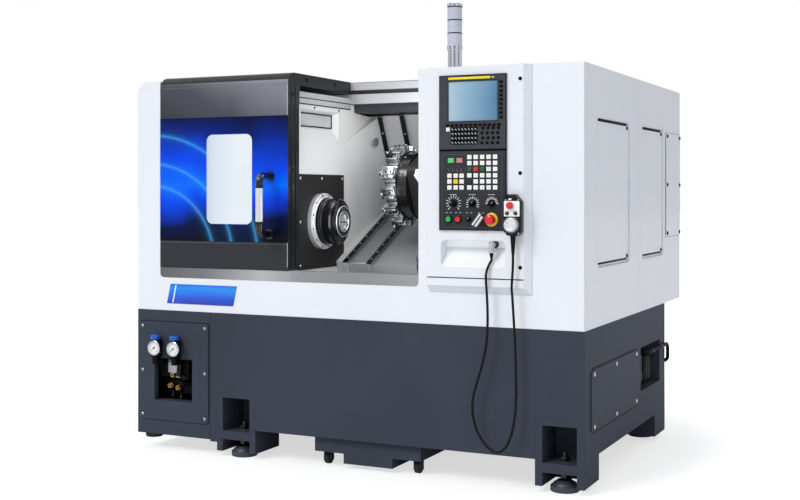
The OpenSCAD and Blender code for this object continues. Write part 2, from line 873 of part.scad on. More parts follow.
module headstock_cover() color("#e4e8ee") place() {
    box([open_x + touch, wall_x - sheet - touch], [wall_front, wall_front + sheet],
        [apron_z + over, wall_top]);
    box([open_x + touch, wall_x - sheet - touch], [wall_front, track_d[0] - touch],
        [wall_top - sheet, wall_top]);
    box([open_x + touch, wall_x - sheet - touch], [sill_d[1] + touch, wall_front + over / 2],
        [apron_z + over, apron_z + over + sheet]);
}

module sill_strip() color("#c4c7cb") place() difference() {
    front_plate(sill_d) cup_outline([open_x + touch, jamb_x - touch],
        [apron_z + touch, apron_z + sill_h], sill_round);
    box([open_x + sill_round + over, jamb_x - sill_round - over], [front_t - over, sill_d[1] + over],
        [apron_z + over, apron_z + sill_h - sheet]);
}

module door_track() color("#e9edf3") place() {
    box([open_x + touch, jamb_x - touch], track_d, [track_z[0], track_z[1]]);
    box([open_x + touch, jamb_x - touch], track_d, [track_z[2], track_z[3]]);
    box([open_x + touch, jamb_x - touch], [track_web_d, track_d[1]], [track_z[0], track_z[3]]);
}

module front_panel() color("#f0f3fa") place() difference() {
    front_plate([0, front_t]) difference() {
        union() {
            translate([-half_w, split_z]) square([body_w, body_h - column_round - split_z]);
            translate([column_round - half_w, split_z]) square([body_w - column_round, body_h - split_z]);
            translate([column_round - half_w, body_h - column_round]) circle(r = column_round);
        }
        cup_outline([open_x, jamb_x], [apron_z, body_h + over], sill_round + touch);
    }
    box([sheet - half_w, open_x - sheet], [sheet, front_t + over],
        [split_z + sheet, body_h - column_round]);
    box([sheet - half_w, half_w - sheet], [sheet, front_t + over], [split_z + sheet, apron_z - sheet]);
    box([jamb_x + sheet, half_w - sheet], [sheet, front_t + over], [split_z + sheet, body_h - sheet]);
    box([console_x[0] + console_box_in - fit_gap, console_x[1] - console_box_in + fit_gap],
        [-over, front_t],
        [console_z + console_box_in - fit_gap, body_h - console_box_in + fit_gap]);
}

// Left sheet, bent over the roof, with the hole that bars are fed through
module left_sheet() {
    front_plate([front_t, body_d - sheet]) difference() {
        union() {
            translate([-half_w, split_z]) square([column_round, body_h - column_round - split_z]);
            translate([column_round - half_w, body_h - column_round]) {
                square([column_w - column_round - door_gap, column_round]);
            }
            translate([column_round - half_w, body_h - column_round]) circle(r = column_round);
        }
        translate([sheet - half_w, split_z - over])
            square([column_w, body_h - column_round - split_z + over]);
        translate([column_round - half_w, body_h - column_round - over])
            square([column_w, column_round - sheet + over]);
        translate([column_round - half_w, body_h - column_round]) circle(r = column_round - sheet);
    }
}

module side_panels() color("#f0f3fa") place() difference() {
    union() {
        left_sheet();
        box([half_w - sheet, half_w], [front_t, seam_d - door_gap / 2], [split_z, body_h]);
        box([half_w - sheet, half_w], [seam_d + door_gap / 2, body_d - sheet], [split_z, body_h]);
    }
    rod_x([-half_w - over, sheet - half_w + over], spindle_d, spindle_z, bar_port_r);
    for (d = access_d)
        side_plate([half_w - sheet - over, half_w + over]) round_outline(d, access_z, access_round);
}

module rear_panel() color("#f0f3fa") place() {
    front_plate([body_d - sheet, body_d]) union() {
        translate([-half_w, split_z]) square([body_w, body_h - column_round - split_z]);
        translate([column_round - half_w, split_z]) square([body_w - column_round, body_h - split_z]);
        translate([column_round - half_w, body_h - column_round]) circle(r = column_round);
    }
    box([sheet - half_w, half_w - sheet], [base_d + touch, body_d - sheet / 2], [split_z, split_z + sheet]);
}

module roof_panel() color("#f0f3fa") place() {
    box([open_x + touch, half_w - sheet], [track_d[1] + touch, body_d - sheet], [body_h - sheet, body_h]);
    box([jamb_x + touch, half_w - sheet], [front_t, track_d[1] + over], [body_h - sheet, body_h]);
}

module access_panels() color("#eef1f8") place() {
    for (d = access_d) {
        difference() {
            side_plate([half_w - access_deep, half_w]) round_outline(d, access_z, access_round);
            side_plate([half_w - access_deep + access_wall, half_w + over]) {
                round_outline(d + [access_wall, -access_wall], access_z + [access_wall, -access_wall],
                    access_round - access_wall);
            }
        }
        side_plate([half_w - access_deep, half_w - leaf_low]) {
            round_outline(d + leaf_gap_d, access_z + leaf_gap_z, access_wall);
        }
    }
    side_plate([half_w, half_w + side_plate_t]) round_outline(side_plate_d, side_plate_z, access_wall);
    side_plate([-half_w - left_door_t, -half_w]) round_outline(left_door_d, left_door_z, access_round);
}

// Screw heads on the front, on the right side and on the left side
module front_screws(xs, zs, d) {
    for (px = xs, pz = zs) rod_y(px, [d - screw_h, d], pz, screw_r);
}

module side_screws(ds, zs, x) {
    for (pd = ds, pz = zs) rod_x([x, x + side_screw_h], pd, pz, screw_r);
}

// Limits of a range moved in from both ends, and the same with its middle
function ends_in(range, inset) = [range[0] + inset, range[1] - inset];
function ends_and_middle(range, inset) = [range[0] + inset, (range[0] + range[1]) / 2, range[1] - inset];

module cover_screws() color("#3c3e44") place() {
    front_screws([cabinet_x[0] + cabinet_screw_in[0], cabinet_x[1] - cabinet_screw_in[1]],
        ends_and_middle([cover_low, cover_top], cover_screw_in), -sheet);
    front_screws([console_x[1] - console_screw_in], console_screw_z, face_d);
    side_screws(ends_and_middle(side_cover_d, side_cover_screw_in[0]),
        ends_in(side_cover_z, side_cover_screw_in[1]),
        half_w + sheet);
    side_screws(ends_in(side_plate_d, plate_screw_in), ends_and_middle(side_plate_z, plate_screw_in),
        half_w + side_plate_t);
    for (d = access_d) {
        side_screws([d[1] - leaf_screw_in[0]], ends_in(access_z + leaf_gap_z, leaf_screw_in[1]),
            half_w - leaf_low);
    }
    side_screws([spindle_d - plate_half + head_screw_in],
        ends_in([spindle_z - plate_half, spindle_z + plate_half], head_screw_in), wall_x + sheet);
    side_screws([spindle_d + plate_half - head_screw_in], [spindle_z + plate_half - head_screw_in],
        wall_x + sheet);
    for (share = latch_share) {
        low = left_door_z[0] + share * (left_door_z[1] - left_door_z[0]);
        box([-half_w - side_out, -half_w - left_door_t],
            [left_door_d[1] - latch_in - latch_size[0], left_door_d[1] - latch_in],
            [low, low + latch_size[1]]);
    }
}

module control_cabinet() color("#eceff5") place() difference() {
    union() {
        intersection() {
            linear_extrude(height = body_h) polygon([[console_x[0], 0], [console_x[0], face_d],
                [console_x[1], face_d], [console_x[1] + console_bevel, 0]]);
            side_plate([0, half_w]) polygon([[0, console_z - console_out], [face_d, console_z],
                [face_d, body_h], [0, body_h]]);
        }
        box([console_x[0] + console_box_in, console_x[1] - console_box_in], [-over, console_box_d],
            [console_z + console_box_in, body_h - console_box_in]);
        box([pend_mid - hook_half, pend_mid + hook_half], hook_d, hook_z);
    }
    box([console_x[0] - over, console_x[1]], [face_d - over, face_d + console_seam_deep], console_seam_z);
    intersection() {
        side_plate(pocket_x) polygon([[face_d - over, pocket_z[0]], [face_d - over, pocket_z[2]],
            [pocket_back, pocket_z[2]], [pocket_back, pocket_z[1]], [face_d, pocket_z[0]]]);
        front_plate([face_d - over, pocket_back + over]) {
            round_outline(pocket_x, [pocket_z[0], pocket_z[2]], pocket_round);
        }
    }
}

function spot_x(share) = panel_x[0] + share * (panel_x[1] - panel_x[0]);
function spot_z(range, share) = range[0] + share * (range[1] - range[0]);

module key_block(x, z, size) {
    box([x - size[0] / 2, x + size[0] / 2], [panel_face - size[2], panel_face + over / 2],
        [z - size[1] / 2, z + size[1] / 2]);
}

module lcd_unit() color("#2d2e32") place() {
    difference() {
        box(panel_x, [panel_face, face_d], lcd_z);
        box(screen_x, [panel_face - over, panel_face + screen_deep], screen_z);
    }
    for (share = soft_rows_share) key_block(spot_x(soft_col_share), spot_z(lcd_z, share), soft_key);
    for (share = soft_cols_share) key_block(spot_x(share), spot_z(lcd_z, soft_row_share), soft_key);
    key_block(spot_x(home_share[0]), spot_z(lcd_z, home_share[1]), soft_key);
    for (col = mdi_cols_share, row = mdi_rows_share) key_block(spot_x(col), spot_z(lcd_z, row), mdi_key);
    for (col = round_cols_share, row = round_rows_share) {
        rod_y(spot_x(col), [panel_face - soft_key[2], panel_face + over / 2], spot_z(lcd_z, row),
            round_key_r);
    }
}

module lcd_screen() color("#9fc0d4") place() {
    box(screen_x + [touch, -touch], [panel_face + screen_deep / 2, panel_face + screen_deep],
        screen_z + [touch, -touch]);
}

module operator_panel() color("#2d2e32") place() difference() {
    union() {
        box(panel_x, [panel_face, face_d], operator_z);
        for (col = jog_cols_share, row = jog_rows_share)
            key_block(spot_x(col), spot_z(operator_z, row), key_size);
        for (col = func_cols_share, row = func_rows_share)
            key_block(spot_x(col), spot_z(operator_z, row), key_size);
        for (col = lit_cols_share) {
            key_block(spot_x(col), spot_z(operator_z, lit_row_share), [lit_size, lit_size, key_size[2]]);
        }
        for (share = [start_share, hold_share]) {
            rod_y(spot_x(share), [panel_face - button_bezel[1], panel_face + over / 2],
                spot_z(operator_z, control_row_share), button_bezel[0]);
        }
        rod_y(spot_x(stop_share), [panel_face - ring_h, panel_face + over / 2],
            spot_z(operator_z, control_row_share), ring_r);
        rod_y(spot_x(key_share), [panel_face - key_lock_h, panel_face + over / 2],
            spot_z(operator_z, control_row_share), key_lock_r);
        translate([spot_x(key_share), panel_face - key_lock_h, spot_z(operator_z, control_row_share)]) {
            rotate([0, key_tilt, 0]) box([-key_plate[0], key_plate[0]], [-key_plate[2], over / 2],
                [-key_plate[1] / 2, key_plate[1] / 2]);
        }
    }
    for (share = [start_share, hold_share]) {
        rod_y(spot_x(share), [panel_face - button_bezel[1] - over, panel_face + bore_deep],
            spot_z(operator_z, control_row_share), button_r + touch);
    }
    rod_y(spot_x(stop_share), [panel_face - ring_h - over, panel_face + bore_deep],
        spot_z(operator_z, control_row_share), stop_stem_r + touch);
}

module signal_tower() color("#c9ccd0") place() {
    rod_z(tower_x, tower_d, [body_h, body_h + tower_base_h], tower_r);
    rod_z(tower_x, tower_d, [body_h + tower_h - tower_cap_h, body_h + tower_h], tower_r);
}

module signal_lenses() color("#dfe6ea") place() {
    step = (tower_h - tower_base_h - tower_cap_h) / tower_colours;
    for (i = [0:tower_colours - 1]) {
        low = body_h + tower_base_h + i * step;
        rod_z(tower_x, tower_d, [low, low + step - tower_gap], tower_r - lens_in);
        rod_z(tower_x, tower_d, [low + step - over, low + step], tower_r - over);
    }
}

module pendant_body() color("#1f2023") place() {
    difference() {
        front_plate(pend_d) {
            polygon([[pend_x[0] + pend_chamfer, pend_z[0]], [pend_x[1] - pend_chamfer, pend_z[0]],
                [pend_x[1], pend_z[0] + pend_chamfer], [pend_x[1], pend_z[1] - pend_chamfer],
                [pend_x[1] - pend_chamfer, pend_z[1]], [pend_tab_x[1], pend_tab_z],
                [pend_tab_x[0], pend_tab_z],
                [pend_x[0], pend_z[1]], [pend_x[0], pend_z[0] + pend_chamfer]]);
        }
        rod_y(pend_wheel_x, [pend_d[0] - over, pend_d[0] + bore_deep], pend_wheel_z, pend_hub_r + run_gap);
    }
    rod_y(pend_stop_x, [pend_d[0] - pend_stop_h, pend_d[0] + over], pend_stop_z, pend_stop_r);
    for (kx = pend_knob_x) rod_y(kx, [pend_d[0] - pend_knob_h, pend_d[0] + over], pend_knob_z, pend_knob_r);
}

module cord_connector() color("#b8bcc2") place() {
    rod_z(conn_x, conn_d, [conn_z[1], conn_z[2]], conn_r);
    translate([conn_x, conn_d, conn_z[0]])
        cylinder(h = conn_z[1] - conn_z[0], r1 = conn_tip_r, r2 = conn_neck_r);
    rod_y(conn_x, [conn_d, pocket_back], conn_nut_z, conn_stem_r);
    rod_y(conn_x, conn_nut_d, conn_nut_z, conn_nut_r);
    translate([relief_x, relief_d, relief_z[1]]) {
        cylinder(h = relief_z[0] - relief_z[1], r1 = relief_r[1], r2 = relief_r[0]);
    }
}

// Cable as one tube: a ring of points at every place on its route, joined side by side
cord_count = len(cord_points);
function cord_ahead(i) = cord_points[min(i + 1, cord_count - 1)] - cord_points[max(i - 1, 0)];
function cord_unit(v) = v / norm(v);
function cord_across(i) = cord_unit(cross(cord_ahead(i), [0, 1, 0]));
function cord_out(i) = cord_unit(cross(cord_ahead(i), cord_across(i)));
function cord_turn(j) = j * 360 / cord_sides;
cord_ring_points = [for (i = [0:cord_count - 1], j = [0:cord_sides - 1])
    cord_points[i] + cord_r * (cos(cord_turn(j)) * cord_across(i) + sin(cord_turn(j)) * cord_out(i))];
cord_side_faces = [for (i = [0:cord_count - 2], j = [0:cord_sides - 1])
    [i * cord_sides + j, i * cord_sides + (j + 1) % cord_sides,
        (i + 1) * cord_sides + (j + 1) % cord_sides, (i + 1) * cord_sides + j]];
cord_first_face = [[for (j = [cord_sides - 1:-1:0]) j]];
cord_last_face = [[for (j = [0:cord_sides - 1]) (cord_count - 1) * cord_sides + j]];

module pendant_cord() color("#141416") place() {
    polyhedron(points = cord_ring_points, faces = concat(cord_side_faces, cord_first_face, cord_last_face));
}

// Door: front and roof in one bent tray, open towards the inside
module door_outline(inset, open) {
    translate([inset, door_low + inset])
        square([door_t - inset + open, door_top - door_round - door_low - inset]);
    translate([door_round, door_top - door_roof_t - open]) {
        square([door_roof_d - door_round - inset, door_roof_t - inset + open]);
    }
    translate([door_round, door_top - door_round]) circle(r = door_round - inset);
}

module door_frame() color("#3c3e43") place() {
    difference() {
        side_plate([door_x, door_right]) door_outline(0, 0);
        side_plate([door_x + door_skin, door_right - door_skin]) door_outline(door_skin, over);
        front_plate([-over, door_t + over]) round_outline(window_x, window_z, window_round);
    }
    for (rx = [door_x + roller_in, door_right - roller_in]) {
        rod_y(rx, roller_d, sill_top + touch + roller_r, roller_r);
        rod_y(rx, [0, roller_d[0] + over], sill_top + touch + roller_r, roller_r / 2);
    }
}

module door_panel() color("#0a3fd0") place() front_plate([-art_t, 0]) difference() {
    translate([door_x, art_z[0]]) square([door_w, art_z[1] - art_z[0]]);
    round_outline(window_x, window_z, window_round);
    for (hz = handle_z) translate([handle_x, hz]) circle(r = handle_foot_r + touch);
}

module door_window() color("#e2e9f3") place() front_plate([-art_t, -art_t + window_t]) {
    round_outline(window_x + [touch, -touch], window_z + [touch, -touch], window_round - touch);
}

module handle_bend(bend) {
    rotate([quarter, 0, -quarter]) rotate_extrude(angle = quarter)
        translate([bend, 0]) circle(r = handle_r);
}

module door_handle() color("#26272b") place() {
    grip_d = handle_r - handle_out;
    bend = 2 * handle_r;
    for (hz = handle_z) {
        rod_y(handle_x, [-handle_foot_h, 0], hz, handle_foot_r);
        rod_y(handle_x, [grip_d + bend, -handle_foot_h + touch], hz, handle_r);
    }
    rod_z(handle_x, grip_d, [handle_z[0] + bend, handle_z[1] - bend], handle_r);
    translate([handle_x, grip_d + bend, handle_z[1] - bend]) handle_bend(bend);
    translate([handle_x, grip_d + bend, handle_z[0] + bend]) mirror([0, 0, 1]) handle_bend(bend);
}

module spindle() color("#9a9ea5") place() slanted() difference() {
    union() {
        rod_x([shaft_back, chuck_back], 0, 0, shaft_r);
        rod_x(pulley_x, 0, 0, pulley_r);
    }
    rod_x([shaft_back - over, chuck_back + over], 0, 0, bar_r);
}

module collet_chuck() color("#2b2c30") place() slanted() difference() {
    union() {
        rod_x([chuck_back, chuck_front], 0, 0, chuck_r - nose_groove / 2);
        rod_x([chuck_back + nose_groove, chuck_front - nose_groove], 0, 0, chuck_r);
        rod_x([chuck_front - over, collet_front], 0, 0, collet_r);
    }
    rod_x([chuck_back - over, collet_front + over], 0, 0, bar_r);
    for (i = [0:nose_bolts - 1]) rotate([i * 360 / nose_bolts, 0, 0]) {
        rod_x([chuck_front - nose_bolt_deep, chuck_front + over], bolt_circle_r, 0, nose_bolt_r);
    }
}

module motor_pulley() color("#9a9ea5") place() {
    rod_x(pulley_x, motor_d, motor_z, motor_pulley_r);
    rod_x([motor_x[1] + touch, pulley_x[1] + over], motor_d, motor_z, motor_shaft_r);
}

module carriage() color("#7d838d") place() slanted() {
    difference() {
        union() {
            box(saddle_x, [front_s + 3 * level_step, back_s + level_step], [saddle_low, saddle_top]);
            box(saddle_x, [back_s - over, saddle_back], [saddle_low, fixed_level - 3 * level_step]);
        }
        for (ws = way_s) {
            box([saddle_x[0] - over, saddle_x[1] + over], [ws - way_gap, ws + way_w + way_gap],
                [saddle_low - over, bed_top + way_h + way_gap]);
        }
    }
    for (rx = rail_x)
        box([rx, rx + rail_w], [front_s + 3 * level_step, back_s], [saddle_top - over, saddle_top + rail_h]);
    box(x_motor_x, [x_motor_s[0] - over, x_motor_s[1]], x_motor_n);
}

module carriage_cover() color("#c3c8cd") place() difference() {
    way_sheet([wall_x + fixed_cover_w + middle_show - tuck, cover_right], 2 * level_step);
    slanted() box(saddle_x, [front_s - over, back_s + 2 * level_step - over],
        [fixed_level - lip_h - 4 * level_step, fixed_level]);
}

module way_cover_middle() color("#c9ced3") place() {
    way_sheet([wall_x - fixed_cover_w, wall_x + fixed_cover_w + middle_show], level_step);
    way_wiper(wall_x + fixed_cover_w + middle_show, level_step);
}

module turret_housing() color("#e6e9ee") place() slanted() translate([0, turret_s, 0]) difference() {
    union() {
        difference() {
            box(slide_x, slide_s, slide_n + [0, over]);
            for (rx = rail_x) box([rx - way_gap, rx + rail_w + way_gap], slide_s + [-over, over],
                [slide_n[0] - over, saddle_top + rail_h + way_gap]);
        }
        side_plate(housing_x) round_outline([-housing_half, housing_half], housing_n, housing_round);
    }
    rod_x([housing_x[0] - over, index_x + over], 0, turret_n, index_r + run_gap);
}

module turret_disc() color("#33353a") place() slanted() translate([0, turret_s, turret_n]) {
    rod_x([disc_x[0], lands_x], 0, 0, disc_r, $fn = stations);
    rod_x([lands_x - over, disc_x[1]], 0, 0, flange_r);
    rod_x([disc_x[0] - hub_h, disc_x[0] + over], 0, 0, hub_r);
    rod_x([disc_x[1] - over, index_x], 0, 0, index_r);
}

// Holder on one flat: block and cheeks that carry a clamped square tool or a boring bar in its sleeve
module tool_station(boring) {
    flat_r = disc_r * cos(180 / stations);
    bar_n = (flat_r + holder_top) / 2;
    box(holder_x, [-holder_half, holder_half], [flat_r, block_top]);
    for (side = [0, 1]) mirror([0, side, 0])
        box([holder_x[0], cheek_x], [cheek_in, holder_half], [block_top - over, holder_top]);
    if (boring) {
        box(sleeve_x, [-cheek_in - over, cheek_in + over], [block_top - over, sleeve_top]);
        rod_x([holder_x[0] - bar_collar_h, holder_x[0] + over], 0, bar_n, bar_collar_r);
        rod_x([bar_tool_x, holder_x[0] + over], 0, bar_n, bar_tool_r);
    } else {
        box([holder_x[0] + over, holder_x[0] + over + 2 * shank_half], [-shank_half, shank_half],
            [block_top - over, tool_reach]);
        box(wedge_x, [-wedge_half, wedge_half], [block_top - over, wedge_top]);
        rod_z((wedge_x[0] + wedge_x[1]) / 2, 0, [wedge_top - over, wedge_top + clamp_screw_h], clamp_screw_r);
    }
}

module tool_holders() color("#b4b8be") place() slanted() translate([0, turret_s, turret_n]) {
    for (i = [0:stations - 1]) rotate([(i + 1 / 2) * 360 / stations, 0, 0]) tool_station(i % 2 == 1);
}

module coolant_tank() color("#464b57") place() {
    well_x = [tank_x[0] + well_x_share[0] * tank_w, tank_x[0] + well_x_share[1] * tank_w];
    difference() {
        union() {
            box(tank_x, tank_d, tank_z);
            box(well_x, tank_d, [well_low, tank_z[0] + over]);
        }
        box(tank_x + [sheet, -sheet], tank_d + [sheet, -sheet], [tank_z[0] + sheet, tank_z[1] + over]);
        box(well_x + [sheet, -sheet], tank_d + [sheet, -sheet], [well_low + sheet, tank_z[1]]);
    }
    for (wx = [tank_x[0] + wheel_in, tank_x[1] - wheel_in], wd = wheel_ends) {
        for (side = [-1, 1]) {
            fx = wx + side * (wheel_w / 2 + axle_gap + fork_t / 2);
            box([fx - fork_t / 2, fx + fork_t / 2], [wd - fork_half, wd + fork_half],
                [wheel_r - fork_half, tank_z[0] + sheet / 2]);
        }
        rod_x([wx - wheel_w / 2 - fork_t, wx + wheel_w / 2 + fork_t], wd, wheel_r, axle_r);
    }
}

module wheel_pair(wd) {
    for (wx = [tank_x[0] + wheel_in, tank_x[1] - wheel_in]) difference() {
        rod_x([wx - wheel_w / 2, wx + wheel_w / 2], wd, wheel_r, wheel_r);
        rod_x([wx - wheel_w, wx + wheel_w], wd, wheel_r, axle_r + run_gap);
    }
}

module caster_wheels_front() color("#1b1c1f") place() wheel_pair(wheel_ends[0]);

module caster_wheels_rear() color("#1b1c1f") place() wheel_pair(wheel_ends[1]);

module emergency_stop() color("#d81f2a") place() {
    px = spot_x(stop_share);
    pz = spot_z(operator_z, control_row_share);
    rod_y(px, [panel_face - ring_h - stop_gap - over, panel_face + bore_deep - over], pz, stop_stem_r);
    rod_y(px, [panel_face - ring_h - stop_h, panel_face - ring_h - stop_gap], pz, stop_r);
}

module push_button(share) {
    px = spot_x(share);
    pz = spot_z(operator_z, control_row_share);
    rod_y(px, [panel_face - button_bezel[1] - button_h / 2, panel_face + bore_deep - over], pz, button_r);
}

module start_button() color("#1fa348") place() push_button(start_share);

module hold_button() color("#d2333a") place() push_button(hold_share);

module turn_knob(share, row, r, h) {
    px = spot_x(share);
    pz = spot_z(operator_z, row);
    rod_y(px, [panel_face - h / 3, panel_face - touch], pz, r);
    rod_y(px, [panel_face - h, panel_face - touch], pz, r - knob_step);
    box([px - knob_bar / 2, px + knob_bar / 2], [panel_face - h - knob_rise, panel_face - h / 2],
        [pz - r, pz + r]);
}

module feed_knob() color("#18191b") place() turn_knob(knob_cols_share[0], knob_row_share, knob_r, knob_h);

module spindle_knob() color("#18191b") place()
    turn_knob(knob_cols_share[1], knob_row_share, knob_r, knob_h);

module rapid_knob() color("#18191b") place() turn_knob(knob_cols_share[2], knob_row_share, knob_r, knob_h);

module mode_knob() color("#18191b") place() turn_knob(mode_share, control_row_share, mode_r, mode_h);

module pendant_wheel() color("#cfd3d8") place() {
    rod_y(pend_wheel_x, [pend_d[0] - touch - pend_wheel_h, pend_d[0] - touch], pend_wheel_z, pend_wheel_r);
    rod_y(pend_wheel_x, [pend_d[0] - over, pend_d[0] + bore_deep - touch], pend_wheel_z, pend_hub_r);
}

bed_base();
rear_base();
base_legs();
service_cabinet();
base_covers();
air_manifold();
pressure_gauges();
levelling_feet();
lube_unit();
slant_bed();
headstock();
spindle_cap();
spindle_motor();
drive_belt();
headstock_wall();
headstock_plate();
work_lamp();
chamber_liner();
headstock_cover();
sill_strip();
door_track();
front_panel();
side_panels();
rear_panel();
roof_panel();
access_panels();
cover_screws();
control_cabinet();
lcd_unit();
lcd_screen();
operator_panel();
signal_tower();
signal_lenses();
pendant_body();
cord_connector();
pendant_cord();
door_frame();
door_panel();
door_window();
door_handle();
spindle();
collet_chuck();
motor_pulley();
carriage();
carriage_cover();
way_cover_middle();
turret_housing();
turret_disc();
tool_holders();
coolant_tank();
caster_wheels_front();
caster_wheels_rear();
emergency_stop();
start_button();
hold_button();
feed_knob();
spindle_knob();
rapid_knob();
mode_knob();
pendant_wheel();
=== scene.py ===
"""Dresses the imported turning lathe: finishes for its CAD parts and the fine pieces that sit on them."""

import logging
import math
from dataclasses import dataclass
from enum import Enum
from typing import Iterable, Optional, Sequence

import bmesh
import bpy
from mathutils import Matrix, Vector


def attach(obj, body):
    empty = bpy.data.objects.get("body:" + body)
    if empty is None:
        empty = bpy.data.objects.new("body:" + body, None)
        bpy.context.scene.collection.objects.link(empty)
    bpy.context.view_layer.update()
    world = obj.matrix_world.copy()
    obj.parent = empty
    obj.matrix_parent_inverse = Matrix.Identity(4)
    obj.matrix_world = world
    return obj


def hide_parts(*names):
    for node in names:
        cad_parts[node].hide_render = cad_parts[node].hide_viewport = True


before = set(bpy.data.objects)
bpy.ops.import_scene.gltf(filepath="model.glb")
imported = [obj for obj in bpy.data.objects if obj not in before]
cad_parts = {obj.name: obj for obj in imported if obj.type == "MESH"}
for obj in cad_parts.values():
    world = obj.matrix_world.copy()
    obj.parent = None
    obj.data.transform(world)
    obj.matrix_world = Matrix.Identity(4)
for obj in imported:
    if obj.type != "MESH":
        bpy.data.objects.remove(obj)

LOG = logging.getLogger("lathe")
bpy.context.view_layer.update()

Colour = tuple[float, float, float]
Point = tuple[float, float, float]
Flat = tuple[float, float]

FRONT = -0.778
RIGHT = 1.060
SPINDLE = Vector((0.0, -0.468, 1.040))
SLANT = math.radians(26.0)
SMOOTH_ANGLE = math.radians(32.0)
SHARP_ANGLE = math.radians(40.0)
ALIKE = 0.9
ACROSS: Point = (1.0, 0.0, 0.0)
DEEP: Point = (0.0, 1.0, 0.0)
UP: Point = (0.0, 0.0, 1.0)
FORWARD: Point = (0.0, -1.0, 0.0)


def linear(colour: Colour) -> tuple[float, float, float, float]:
    """Turns a screen colour into the linear values that a shader takes.

    Args:
        colour: Red, green and blue from 0 to 255.

    Returns:
        Linear red, green and blue, and full opacity.
    """
    parts = [c / 255.0 for c in colour]
    flat = [p / 12.92 if p <= 0.04045 else ((p + 0.055) / 1.055) ** 2.4 for p in parts]
    return (flat[0], flat[1], flat[2], 1.0)


def pivot(place: Sequence[float], angle: float, axis: str) -> Matrix:
    """Gives the movement that turns about the axis X, Y or Z and then goes to a place."""
    return Matrix.Translation(place) @ Matrix.Rotation(angle, 4, axis)


def turning(*numbers: float) -> tuple[Flat, ...]:
    """Gives a turned profile from places along the axis and radii in millimetres, pair by pair."""
    metres = [number / 1000.0 for number in numbers]
    return tuple(zip(metres[::2], metres[1::2]))


def added(name: str, data: bpy.types.ID) -> bpy.types.Object:
    """Puts an object with its data into the scene."""
    item = bpy.data.objects.new(name, data)
    bpy.context.scene.collection.objects.link(item)
    return item


SLANTED = pivot(SPINDLE, SLANT, "X")


class Grain(Enum):
    """Fine surface of a finish."""

    PEEL = "powder coat's orange peel"
    MOULDED = "spark-eroded plastic"
    BRUSHED_X = "brushed along the machine"
    BRUSHED_Y = "brushed front to back"
    BRUSHED_Z = "brushed upright"
    CAST = "sand casting"


GRAIN_STRETCH: dict[Grain, Point] = {
    Grain.PEEL: (1.0, 1.0, 1.0),
    Grain.MOULDED: (1.0, 1.0, 1.0),
    Grain.BRUSHED_X: (0.02, 1.0, 1.0),
    Grain.BRUSHED_Y: (1.0, 0.02, 1.0),
    Grain.BRUSHED_Z: (1.0, 1.0, 0.02),
    Grain.CAST: (1.0, 1.0, 1.0),
}


